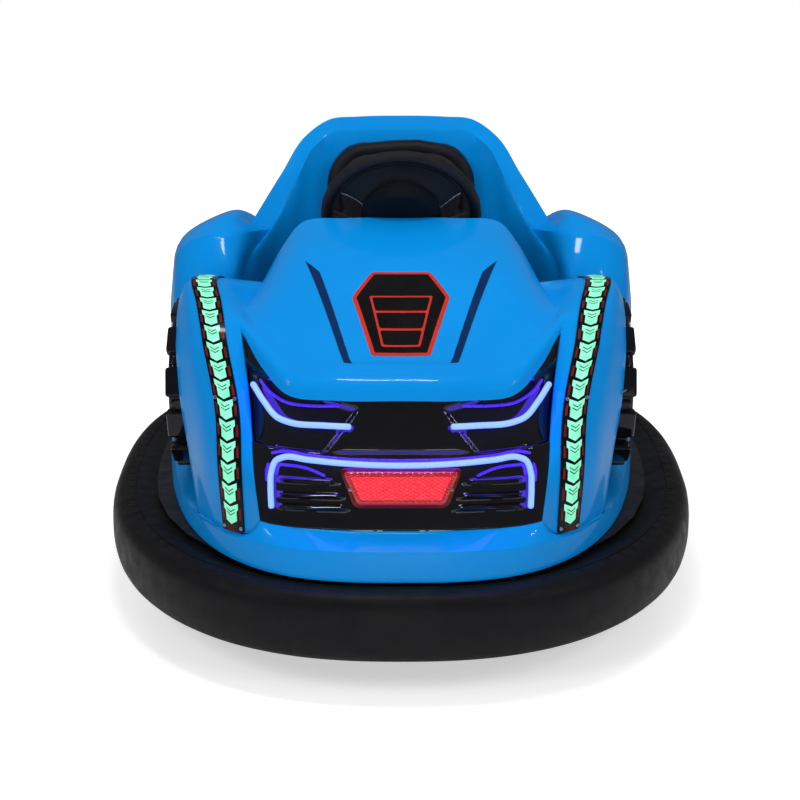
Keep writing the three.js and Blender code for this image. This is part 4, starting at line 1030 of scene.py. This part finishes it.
for face in lens_piece.data.polygons:
    face.material_index = int(any(v in near_edge or v >= len(flat) for v in face.vertices))
settle(lens_piece, "red_lens", "lamp_lens")


HEAD = 1.8


def screw(place, normal, radius):
    """A domed cross-head screw, as points and faces in metres."""
    normal = np.asarray(normal, float) / np.linalg.norm(normal)
    side = np.cross(normal, (0, 0, 1.0))
    side /= np.linalg.norm(side)
    over = np.cross(normal, side)
    rings, sides = [(1, -0.4), (1, 0.25), (0.86, 0.7), (0.55, 0.95), (0.34, 1.0)], 16
    turn = 2 * np.pi * np.arange(sides) / sides
    around = np.cos(turn)[:, None] * side + np.sin(turn)[:, None] * over
    reach = np.where(np.arange(sides) % 4 < 2, 0.34, 0.12)[:, None]
    points = [place + radius * r * around + normal * h * HEAD for r, h in rings]
    points.append(place + radius * reach * around + normal * 0.35 * HEAD)
    return np.vstack(points) * MM, [f[::-1] for f in ring_faces(len(points), sides)]


normal = plain_mask.spot(LAMP_ROW, 0)[1]
screw_out = (LAMP_TOP + LAMP_BOTTOM + 4) / 2 * 0.955
lamp_screws = [screw(on_lamp([(x, -2)], 9.4)[0] / MM, normal, 3.2) for x in (-screw_out, screw_out)]
add("lamp_screws", join_parts(lamp_screws), ZINC, "gloss_black")

# %% [markdown]
# ## Light strips
# A strip runs down each fender from its crest: a dark film with a row of mint cells, like tread blocks, and
# dark red dashes along both sides. Everything is drawn flat as distance along and distance across, then laid
# on the fender's own skin.

# %% Light strips
STRIP_ROWS, CELL_COUNT, END_PIECE = 9, 18, 17
fine_rows = np.arange(0, round(clip.row(STRIP_ROWS)) + 1)
edges = [clip.grid[fine_rows, round(clip.column(c))] for c in (5, 6, 7)]
strip_normals = clip.normals[fine_rows, round(clip.column(6))]
run = np.concatenate([[0], np.cumsum(np.linalg.norm(np.diff(edges[1], axis=0), axis=1))])
PITCH = (run[-1] - END_PIECE) / CELL_COUNT


def on_strip(flat, lift):
    """Distance up the strip from its foot and distance across it, laid on the left fender."""
    s = flat[:, 0]
    inner, middle, outer, normal = (np.stack([np.interp(s, run, line[:, k]) for k in range(3)], 1)
                                    for line in (*edges, strip_normals))
    normal /= np.linalg.norm(normal, axis=1)[:, None]
    t = flat[:, 1:]
    arm = np.where(t > 0, outer - middle, middle - inner)
    arm /= np.linalg.norm(arm, axis=1)[:, None]
    return (middle + arm * t + normal * lift) * MM


def strip_sheet(outline, lift, thickness, cell=12):
    flat, faces = cut_sheet(outline, cell)
    return thick(on_strip(flat, lift), on_strip(flat, lift - thickness), faces)


HALF_STRIP = 24
backing = round_corners([(1, -HALF_STRIP), (run[-1] - 1, -HALF_STRIP), (run[-1] - 1, HALF_STRIP),
                         (1, HALF_STRIP)], 3)
add_pair("strip_film", strip_sheet(backing, 3.2, 2.8, 9), FILM_BLACK, "light_strip", ["light_strip_left"],
         ["light_strip_right"])


def chevron(s, half, drop, width):
    """A thin V whose point is towards the foot."""
    return [(s, -half), (s - drop, 0), (s, half), (s - width, half), (s - drop - width, 0),
            (s - width, -half)]


# A cell is wide at its head and narrow at its foot, and each end is notched like a V.
WIDE, NARROW, NOTCH = 15.2, 11.6, 6.5
cells, marks, dashes = [], [], []
for k in range(CELL_COUNT):
    base = END_PIECE + k * PITCH
    top, foot = base + PITCH - 1.0, base + 4.0
    cells.append(strip_sheet([(top, -WIDE), (top - NOTCH, 0), (top, WIDE), (top - 11, WIDE - 0.4),
                              (top - 14.5, NARROW), (foot, NARROW), (foot - NOTCH, 0), (foot, -NARROW),
                              (top - 14.5, -NARROW), (top - 11, 0.4 - WIDE)], 3.7, 0.5))
    for down in (9.0, 15.0):
        marks.append(strip_sheet(chevron(top - down, 8.5, 5.5, 2.0), 3.9, 0.2))
    for side in (-1, 1):
        dash = [(base + 6, 16.2 * side), (base + PITCH - 12, 16.2 * side), (base + PITCH - 8, 20.4 * side),
                (base + 6, 20.4 * side)]
        dashes.append(strip_sheet(dash[::side], 3.5, 0.3))
for down in (4.2, 8.6, 13.0):
    dashes.append(strip_sheet(chevron(down + 2, 12, 3, 1.5), 3.5, 0.3))
strip_screws = []
for s, t in ((8, -18.5), (8, 18.5), (END_PIECE + 6.0 * PITCH, -19), (END_PIECE + 6.0 * PITCH, 19)):
    flat = np.array([[s, t]], float)
    place, above = on_strip(flat, 3.3)[0] / MM, on_strip(flat, 13.3)[0] / MM
    strip_screws.append(screw(place, above - place, 3.8))
for name, parts, material in (("strip_cells", cells, MINT), ("strip_marks", marks, MINT_DARK),
                              ("strip_dashes", dashes, EDGE_RED), ("strip_screws", strip_screws, ZINC)):
    add_pair(name, join_parts(parts), material, "light_strip")

# %% [markdown]
# ## Cushions
# The seat pad and the back pad are foam under vinyl. A plain block is remeshed into even small faces, then
# blown up a little as cloth, so that it crowns and its sides pull in. The seams and the piping come after,
# because a remesh would erase them.

# %% Cushion maker
def block(outline, low, high, place):
    """A block: the outline in two coordinates, and a third from low to high."""
    flat, faces = cut_sheet(outline, 16)
    top = np.array([place(a, b, high) for a, b in flat]) * MM
    under = np.array([place(a, b, low) for a, b in flat]) * MM
    return thick(top, under, faces)


def points_of(made):
    return np.array([v.co for v in made.data.vertices])


def move_points(made, points):
    made.data.vertices.foreach_set("co", points.ravel())
    made.data.update()


def bake_modifiers(made):
    """Replaces the object's mesh by the one that its modifiers give."""
    view = bpy.context.evaluated_depsgraph_get()
    mesh = bpy.data.meshes.new_from_object(made.evaluated_get(view))
    made.modifiers.clear()
    old, made.data = made.data, mesh
    bpy.data.meshes.remove(old)
    if not mesh.materials:
        mesh.materials.append(VINYL)


FRAMES, FARTHEST = 20, 0.022


def stuffed(name, points, faces):
    """Blows a closed mesh up as cloth, moving no point too far, and subdivides it."""
    pad = piece(name, points, faces, VINYL)
    remesh = pad.modifiers.new("even faces", "REMESH")
    remesh.mode = "VOXEL"
    remesh.voxel_size = 0.0055
    bake_modifiers(pad)
    start = points_of(pad)
    cloth = pad.modifiers.new("filling", "CLOTH")
    cloth.settings.use_pressure = True
    cloth.settings.uniform_pressure_force = 4.0
    cloth.settings.effector_weights.gravity = 0
    cloth.point_cache.frame_start, cloth.point_cache.frame_end = 1, FRAMES
    for frame_number in range(1, FRAMES + 1):
        bpy.context.scene.frame_set(frame_number)
    bake_modifiers(pad)
    bpy.context.scene.frame_set(1)
    moved = points_of(pad) - start
    length = np.linalg.norm(moved, axis=1)
    moved *= np.minimum(1, FARTHEST / np.maximum(length, 1e-9))[:, None]
    pad.data.vertices.foreach_set("co", (start + moved).ravel())
    print(name, "largest move", round(float(length.max()) * 1000, 1), "mm")
    smooth = pad.modifiers.new("smooth", "SMOOTH")
    smooth.factor, smooth.iterations = 0.5, 6
    divide = pad.modifiers.new("finer", "SUBSURF")
    divide.levels = divide.render_levels = 1
    bake_modifiers(pad)
    pad.data.shade_smooth()
    return pad


def fit_into(made, low, high, axes=(0, 1, 2)):
    """Scales and moves the mesh so that it fills the box exactly along the given axes."""
    points = points_of(made)
    for axis in axes:
        a, b = points[:, axis].min(), points[:, axis].max()
        points[:, axis] = (points[:, axis] - a) / (b - a) * (high[axis] - low[axis]) + low[axis]
    move_points(made, points)


def press_channels(made, axis, places, normal_axis, front, depth, width):
    """Sewn channels: a groove at each place along one axis, on the side of the pad that faces front."""
    points = points_of(made)
    middle = (points[:, normal_axis].min() + points[:, normal_axis].max()) / 2
    facing = ease((points[:, normal_axis] - middle) * front / 0.012)
    groove = sum(np.exp(-((points[:, axis] - p) / width) ** 2) for p in places)
    points[:, normal_axis] -= front * depth * groove * facing
    move_points(made, points)


# %% Seat cushion
low, high = (np.array(c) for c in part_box("seat_cushion"))
SHRINK = 9
(x0, y0), (x1, y1) = low[:2] / MM + SHRINK, high[:2] / MM - SHRINK
SEAT = [(x0, y0), (x1, y0), (x1, y1), (x0, y1)]
seat_points, seat_faces = block(round_corners(SEAT, 42, 6), low[2] / MM + 4, high[2] / MM - 10,
                                lambda a, b, h: (a, b, h))
seat = stuffed("seat_cushion_pad", seat_points, seat_faces)
fit_into(seat, low + (0.001, 0.001, 0), high - (0.001, 0.001, 0))
press_channels(seat, 0, (-0.095, 0, 0.095), 2, 1, 0.007, 0.006)
settle(seat, "black_vinyl", "seat_cushion")


def welt(name, line, radius):
    """A thin cord sewn in along an edge."""
    shape = tube_mesh(closed_curve(line, 3) * MM, radius * MM, 8, closed=True)
    add(name, shape, PIPING, "black_vinyl", sharp=TUBE_SHARP)


welt("seat_cushion_piping", [(*p, high[2] / MM - 13) for p in round_corners(inset(SEAT, 4), 38, 8)], 3.4)

# %% Back cushion
LEAN = math.tan(math.radians(4.2))
BACK_REAR, BACK_THICK, BACK_BOTTOM, BACK_TOP, BACK_HALF, BACK_CORNER = 394.5, 45, 436, 812, 168, 95
ARCH_STEPS = 14


def leaned(x, z, y):
    return (x, y + LEAN * (z - BACK_BOTTOM), z)


def arch(grow):
    r, half = BACK_CORNER + grow, BACK_HALF - BACK_CORNER
    turn = [math.pi * i / ARCH_STEPS for i in range(ARCH_STEPS + 1)]
    arc = [(half * (1 if t < math.pi / 2 else -1) + r * math.cos(t), BACK_TOP - BACK_CORNER + r * math.sin(t))
           for t in turn]
    return [(-BACK_HALF - grow, BACK_BOTTOM - grow), (BACK_HALF + grow, BACK_BOTTOM - grow)] + arc


back_points, back_faces = block(arch(-8), BACK_REAR - BACK_THICK + 8, BACK_REAR - 5, leaned)
back = stuffed("back_cushion_pad", back_points, [f[::-1] for f in back_faces])
# The rear of the pad lies flat on the sloping shell.
points = points_of(back)
behind = points[:, 1] - LEAN * (points[:, 2] - BACK_BOTTOM * MM) - (BACK_REAR - 2) * MM
points[:, 1] -= np.maximum(behind, 0)
move_points(back, points)
low, high = (np.array(c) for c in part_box("back_cushion"))
fit_into(back, low + (0.002, 0, 0.001), high - (0.002, 0, 0.002), axes=(0, 2))
settle(back, "black_vinyl", "back_cushion")
# A thick roll runs over the top of the back pad, and a thin welt closes its edge.
ROLL_IN, ROLL_FOOT = BACK_HALF - 19, BACK_BOTTOM + 30
roll_flat = [(-ROLL_IN, ROLL_FOOT)] + arch(-19)[:1:-1] + [(ROLL_IN, ROLL_FOOT)]
roll_line = open_curve([leaned(x, z, BACK_REAR - BACK_THICK + 8) for x, z in roll_flat], 3) * MM
add("back_cushion_roll", tube_mesh(roll_line, 0.018, 20), VINYL, "black_vinyl", sharp=TUBE_SHARP)
welt("back_cushion_piping", [leaned(x, z, BACK_REAR - 22) for x, z in arch(-8)], 3.2)

# %% [markdown]
# ## Steering wheel
# A thick grip ring, a broad dark cover between the spokes and a domed centre. The wheel is drawn flat round
# its own axis and then leaned back with the column.

# %% Steering wheel
STEER_DIP, STEER_Y, STEER_Z, RIM_RADIUS, RIM_TUBE, DISH = 34, 40, 703, 151, 11.5, 45


def on_wheel(points):
    """Wheel coordinates, x across, y away from the rider and z up the column, to the car's place."""
    turn = Matrix.Rotation(math.radians(STEER_DIP - 90), 3, "X")
    return np.array([(turn @ Vector(p) + Vector((0, STEER_Y, STEER_Z))) * MM for p in points])


turns = 2 * np.pi * np.arange(96) / 96
rim_line = np.stack([RIM_RADIUS * np.cos(turns), RIM_RADIUS * np.sin(turns), 0 * turns], 1)
swell = 1 + 0.03 * np.cos(turns * 24)
rim_points, rim_faces = tube_mesh(rim_line, RIM_TUBE + 0.6, 24, closed=True, up=(0, 0, 1))
rim_centre = np.repeat(rim_line, 24, 0)
rim_points = rim_centre + (rim_points - rim_centre) * np.repeat(swell, 24)[:, None]
add("steering_grip", (on_wheel(rim_points), rim_faces), GRIP, "wheel_grip", "steering_wheel",
    sharp=TUBE_SHARP, body="steering_wheel")


def plate(outline, cell, low, high, crown, under):
    """A plate whose top rises by the crown. Its underside moves by that crown times the last number."""
    flat, faces = cut_sheet(outline, cell)
    tops = on_wheel([(a, b, high + crown(a, b)) for a, b in flat])
    return thick(tops, on_wheel([(a, b, low + under * crown(a, b)) for a, b in flat]), faces)


def arm(x, y):
    """The cover rises from the hub towards the grip."""
    return 30 * ease((math.hypot(x, y) - 50) / 85)


DOME_UP = 38


def dome(x, y):
    """The horn pad: a shallow dome with a step in it."""
    away = math.hypot(x, y + DOME_UP)
    return 9 * (1 - ease((away - 62) / 18)) + 3 * (1 - ease((away - 60) / 4)) + 4 * (1 - away / 80)


# The cover's upper half follows the grip, and its lower edge runs in waves from spoke to spoke. The upper
# half is at minus y, because y points down the sloping wheel.
ARC = 137
upper_arc = [(ARC * math.cos(t), -ARC * math.sin(t)) for t in np.radians(np.linspace(18, 162, 25))]
WAVE = [(-118, -66), (-88, -56), (-42, -36), (-14, -41), (8, -43), (38, -34), (62, -38), (95, -52),
        (118, -66)]
edge_line = [(x, y, -DISH + 4.5 + arm(x, y) - max(dome(x, y), 0))
             for x, y in open_curve([(*p, 0) for p in WAVE], 4)[:, :2]]
dome_outline = [(80 * math.cos(t), 80 * math.sin(t) - DOME_UP) for t in np.radians(np.arange(0, 360, 8))]
wheel_parts = [
    ("steering_cover", plate(upper_arc + WAVE, 9, -DISH + 6, -DISH + 10, arm, 1), HUB_GREY, "wheel_grip", 50),
    ("steering_cover_trim", tube_mesh(on_wheel(edge_line), 0.0013, 8), ZINC, "wheel_grip", TUBE_SHARP),
    ("steering_dome", plate(dome_outline, 6, -DISH + 2, -DISH + 10, dome, -1), HUB_DARK, "wheel_grip", 50)]
SPOKE = ((30, -DISH), (60, -DISH + 2), (95, -26), (125, -9), (140, -1), (151, 0))
for label, angle in (("left", 0), ("lower", 90), ("right", 180)):
    c, d = math.cos(math.radians(angle)), math.sin(math.radians(angle))
    spoke = tube_mesh(on_wheel(open_curve([(r * c, r * d, z) for r, z in SPOKE], 5)), 0.0085, 16)
    wheel_parts.append(("steering_spoke_" + label, spoke, GRIP, "wheel_grip", TUBE_SHARP))
shaft = on_wheel([(0, 0, z) for z in (-DISH - 8, -120, -260, -410)])
wheel_parts.append(("steering_shaft", tube_mesh(shaft, 0.01, 24), STEEL, "black_steel", TUBE_SHARP))
for name, shape, material, slot, sharp in wheel_parts:
    add(name, shape, material, slot, sharp=sharp, body="steering_wheel")

# %% [markdown]
# ## Wheels
# A wheel is a profile turned about its axle. The profile is a list of radius and width, with a rounded tread,
# and the treads and bolts are added after.

# %% Turned shapes
def turned(profile, centre, sides=96):
    """Points and faces of a closed profile of (radius, place along the axle), turned about the X axis."""
    profile = np.asarray(profile, float)
    angles = 2 * np.pi * np.arange(sides) / sides
    radius, along = profile[:, 0], profile[:, 1]
    points = np.stack([np.repeat(along[:, None], sides, 1), np.outer(radius, np.cos(angles)),
                       np.outer(radius, np.sin(angles))], 2).reshape(-1, 3) + centre
    faces = ring_faces(len(profile), sides, closed=True)
    area = 0.5 * np.sum(along * np.roll(radius, -1) - np.roll(along, -1) * radius)
    return points * MM, faces if area > 0 else [f[::-1] for f in faces]


def lug(centre, angle, radius_low, radius_high, x_low, x_high, half, corner=6, taper=0.9):
    """A block on a tread, with rounded corners and edges, standing out at an angle round the axle."""
    middle = (x_low + x_high) / 2
    outline = round_corners([(x_low, -half), (x_high, -half), (x_high, half), (x_low, half)], corner, 3)
    inner = [((x - middle) * taper + middle, y * taper) for x, y in outline]
    halfway = [(0.5 * (a + c), 0.5 * (b + d)) for (a, b), (c, d) in zip(outline, inner)]
    points, c, s = [], math.cos(angle), math.sin(angle)
    for flat, r in ((outline, radius_low), (outline, radius_high - 3), (halfway, radius_high - 0.8),
                    (inner, radius_high)):
        points += [(centre[0] + x, centre[1] + r * c - y * s, centre[2] + r * s + y * c) for x, y in flat]
    return np.array(points) * MM, ring_faces(4, len(outline))


# %% Mock wheels
LUG_COUNT, TREAD, OUTER_RADIUS = 12, 149, 160.5
for where in ("front", "rear"):
    low, high = (np.array(c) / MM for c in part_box("mock_wheel_%s_left" % where))
    centre = np.array([0, (low[1] + high[1]) / 2, (low[2] + high[2]) / 2])
    outer = high[0] - 4
    inner = outer - 125
    body = round_corners([(60, inner + 2), (TREAD - 2, inner), (TREAD, inner + 10), (TREAD, outer - 12),
                          (TREAD - 6, outer), (108, outer - 0.5), (102, outer - 4), (96, outer - 15),
                          (60, outer - 15)], (2, 8, 4, 8, 10, 4, 3, 4, 2))
    tyre_parts = [turned(body, centre)]
    for k in range(LUG_COUNT):
        angle = 2 * math.pi * (k + 0.5) / LUG_COUNT
        for x0, x1 in ((inner + 20, inner + 70), (inner + 76, outer + 2.5)):
            tyre_parts.append(lug(centre, angle, TREAD - 5, OUTER_RADIUS, x0, x1, 27))
        tyre_parts.append(lug(centre, angle + math.pi / LUG_COUNT, TREAD - 5, OUTER_RADIUS - 6, inner + 30,
                              outer - 6, 7))
    # The rim is a dished disc with five spokes, and a small bolt between each two.
    disc = round_corners([(0.5, outer - 26), (97, outer - 26), (97, outer - 9), (88, outer - 7),
                          (80, outer - 19), (40, outer - 17), (34, outer - 10), (0.5, outer - 9)],
                         (0, 3, 3, 3, 6, 5, 4, 0))
    bolt = round_corners([(0.3, outer - 12), (4, outer - 12), (4, outer - 6), (0.3, outer - 6)],
                         (0, 0, 1.5, 0), 2)
    rim_parts = [turned(disc, centre)]
    for k in range(5):
        a = 2 * math.pi * k / 5 + math.pi / 2
        rim_parts.append(lug(centre, a, 26, 86, outer - 22, outer - 9.5, 9, 4, 0.8))
        rim_parts.append(turned(bolt, centre + (0, 24 * math.cos(a + 0.63), 24 * math.sin(a + 0.63)), 12))
    tyre, rim = join_parts(tyre_parts), join_parts(rim_parts)
    for label, shapes in (("left", (tyre, rim)), ("right", (mirror_x(*tyre), mirror_x(*rim)))):
        tail = "_%s_%s" % (where, label)
        add("mock_tyre" + tail, shapes[0], BLACK_GLOSS, "gloss_black", "mock_wheel" + tail, sharp=40)
        add("mock_rim" + tail, shapes[1], BLACK_GLOSS, "gloss_black", sharp=40)

# %% Arch liners
# A black sheet stands inside each wheel arch, so that nobody looks through the shell from side to side.
LINERS = {"front": (285, [(-478, 242), (-335, 242), (-335, 420), (-470, 420)]),
          "rear": (300, [(400, 242), (565, 242), (560, 400), (400, 400)])}
for where, (x, outline) in LINERS.items():
    flat, faces = cut_sheet(round_corners(outline, 20), 40)
    near, far = (np.array([(x + shift, a, b) for a, b in flat]) * MM for shift in (2, -2))
    add_pair(where + "_arch_liner", thick(near, far, faces), SATIN, "satin_black")

# %% Road wheels
for node, body, lines in (("drive_tyre", "drive_wheel", 5), ("rear_tyre_left", "rear_wheel_left", 3),
                          ("rear_tyre_right", "rear_wheel_right", 3)):
    low, high = (np.array(c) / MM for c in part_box(node))
    centre, radius, half = (low + high) / 2, (high[2] - low[2]) / 2, (high[0] - low[0]) / 2
    hub = 62.4 if lines == 5 else 48.4
    corners, radii = [(hub, -half + 5), (radius - 14, -half), (radius, -half + 12)], [2, 6, 8]
    for k in range(lines):
        x = (k - (lines - 1) / 2) * 2 * (half - 14) / lines
        corners += [(radius, x - 1.6), (radius - 4, x - 1.0), (radius - 4, x + 1.0), (radius, x + 1.6)]
        radii += [0.8, 0.6, 0.6, 0.8]
    corners += [(radius, half - 12), (radius - 14, half), (hub, half - 5)]
    radii += [8, 6, 2]
    wheel = turned(round_corners(corners, radii, 3), centre, 72)
    add(node + "_grooved", wheel, TYRE, "wheel_rubber", node, sharp=40, body=body)

# %% [markdown]
# ## Plain parts of the chassis
# The frame, the axle, the fork and the tub are right as they are. Each keeps its mesh, gets its finish, and a
# small bevel that lets its edges catch the light.

# %% Finishes for the plain parts
PLAIN = {"chassis_frame": STEEL, "steering_tower": STEEL, "body_flange": SATIN, "cockpit_tub": SATIN,
         "seat_base": SATIN, "battery_pack": SATIN, "accelerator_pedal": STEEL, "side_entry_left": BLUE,
         "side_entry_right": BLUE, "rear_axle": STEEL, "steering_column": STEEL, "dash_panel": SATIN,
         "steering_fork": STEEL, "drive_motor_hub": CAST, "rear_hub_left": CAST, "rear_hub_right": CAST}
for node, material in PLAIN.items():
    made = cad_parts[node]
    for place in made.material_slots:
        place.link = "OBJECT"
        place.material = material
    bevel = made.modifiers.new("soft edges", "BEVEL")
    bevel.width, bevel.segments, bevel.limit_method = 0.0015, 2, "ANGLE"
    bevel.angle_limit = math.radians(38)
    bevel.harden_normals = False
print("plain parts", len(PLAIN))

# %% [markdown]
# ## Ring details
# The mould leaves short rubber whiskers on the ring, and a glued seam with cross dashes round its top.

# %% Ring details
def ring_line_at(inset_mm, z, count):
    loop = plan_loop([inset_mm], count)[0]
    return np.column_stack([loop, np.full(count, float(z))])


seam_parts = []
for depth, height in ((30, 192.2), (50, 194.6)):
    seam_parts.append(tube_mesh(ring_line_at(depth, height, 240) * MM, 0.0009, 6, closed=True, up=(0, 0, 1)))
outer_side, inner_side = ring_line_at(33, 193.0, 220), ring_line_at(47, 194.6, 220)
for a, b in zip(outer_side[::2], inner_side[::2]):
    seam_parts.append(tube_mesh(np.array([a, (a + b) / 2 + (0, 0, 0.7), b]) * MM, 0.0008, 5))
add("ring_seam", join_parts(seam_parts), RUBBER, "bumper_rubber", sharp=TUBE_SHARP)
random = np.random.default_rng(4)
whiskers = []
for k, (x, y, z) in enumerate(ring_line_at(137, 188.0, 60)):
    if random.random() < 0.3:
        continue
    for shift in ((0,) if k % 3 else (-4, 4)):
        place = np.array([x + shift, y + 0.4 * shift, z])
        lean = random.normal(0, 2.2, 2)
        whiskers.append(tube_mesh(np.array([place, place + (lean[0] * 0.4, lean[1] * 0.4, 8),
                                            place + (lean[0], lean[1], 16)]) * MM, 0.0011, 6))
add("ring_whiskers", join_parts(whiskers), RUBBER, "bumper_rubber", sharp=TUBE_SHARP)

# %% [markdown]
# ## Floor and light
# A pale floor under soft studio light. The lamps stay at a plain level, where a colour comes out about as it
# is written. The floor gives the eye a little of its own light, so it reads as white and still keeps the
# shadow. The world is white to the eye and greyer as a light.

# %% Floor, world and lamps
def white_stage():
    material = finish("pale floor", (0.80, 0.80, 0.80), (0.77, 0.77, 0.77), (0.7, 0.8), cloud=0.5)
    tree = material.node_tree
    shader = tree.nodes["Principled BSDF"]
    shader.inputs["Emission Color"].default_value = (1, 1, 1, 1)
    path = tree.nodes.new("ShaderNodeLightPath")
    place = tree.nodes.new("ShaderNodeTexCoord")
    away = tree.nodes.new("ShaderNodeVectorMath")
    away.operation = "LENGTH"
    wire(tree, place.outputs["Object"], away.inputs[0])
    near_and_far = map_range(tree, away.outputs["Value"], 1.0, 3.0, 0.52, 1.0)
    glow = map_range(tree, path.outputs["Is Camera Ray"], 0, 1, 0.0, near_and_far)
    wire(tree, glow, shader.inputs["Emission Strength"])
    # Seen from below the floor is clear, so the chassis can be looked at.
    below = tree.nodes.new("ShaderNodeNewGeometry").outputs["Backfacing"]
    show_either(tree, below, shader, tree.nodes.new("ShaderNodeBsdfTransparent"))
    return material


bm = bmesh.new()
bmesh.ops.create_circle(bm, cap_ends=True, radius=9, segments=96)
floor_mesh = bpy.data.meshes.new("floor")
bm.to_mesh(floor_mesh)
bm.free()
floor = bpy.data.objects.new("floor", floor_mesh)
bpy.context.collection.objects.link(floor)
floor_mesh.materials.append(white_stage())

world = bpy.data.worlds.new("studio")
bpy.context.scene.world = world
world.use_nodes = True
tree = world.node_tree
background = tree.nodes["Background"]
path = tree.nodes.new("ShaderNodeLightPath")
seen = tree.nodes.new("ShaderNodeMath")
seen.operation = "MAXIMUM"
wire(tree, path.outputs["Is Camera Ray"], seen.inputs[0])
wire(tree, path.outputs["Is Transmission Ray"], seen.inputs[1])
mirror = map_range(tree, path.outputs["Is Glossy Ray"], 0, 1, 0.24, 0.14)
strength = tree.nodes.new("ShaderNodeMath")
strength.operation = "MAXIMUM"
wire(tree, seen.outputs[0], strength.inputs[0])
wire(tree, mirror, strength.inputs[1])
background.inputs["Color"].default_value = (1, 1, 1, 1)
wire(tree, strength.outputs[0], background.inputs["Strength"])


LIT_PLACE = Vector((0, -0.1, 0.4))


def lamp_panel(name, place, size, power):
    light = bpy.data.lights.new(name, "AREA")
    light.shape = "RECTANGLE"
    light.size, light.size_y = size
    light.energy = power
    made = bpy.data.objects.new(name, light)
    bpy.context.collection.objects.link(made)
    made.location = place
    made.rotation_euler = (LIT_PLACE - Vector(place)).to_track_quat("-Z", "Y").to_euler()
    return made


for name, place, size, power in (
        ("key", (-1.9, -2.8, 2.7), (1.2, 1.2), 34), ("fill", (2.1, -2.6, 2.4), (1.2, 1.2), 27),
        ("overhead", (0, 0.2, 3.2), (1.8, 1.8), 26), ("front", (0, -4.2, 1.0), (1.6, 0.8), 22),
        ("behind left", (-2.0, 2.4, 1.9), (0.8, 1.4), 18), ("behind right", (2.0, 2.4, 1.9), (0.8, 1.4), 18)):
    lamp_panel(name, place, size, power).visible_glossy = False

# Narrow strips of light draw the small bright lines along the shell's edges.
for name, place, size, power in (
        ("left streak", (-2.4, -1.6, 2.2), (0.06, 0.9), 7),
        ("right streak", (2.4, -1.6, 2.2), (0.06, 0.9), 7),
        ("top streak", (-0.2, -0.7, 2.9), (0.7, 0.16), 12),
        ("low streak", (0, -3.6, 0.35), (1.6, 0.05), 4)):
    lamp_panel(name, place, size, power)

# %% [markdown]
# ## Finish
# The view transform is Standard, so a colour comes out as it was written.

# %% Finish
bpy.context.scene.view_settings.view_transform = "Standard"
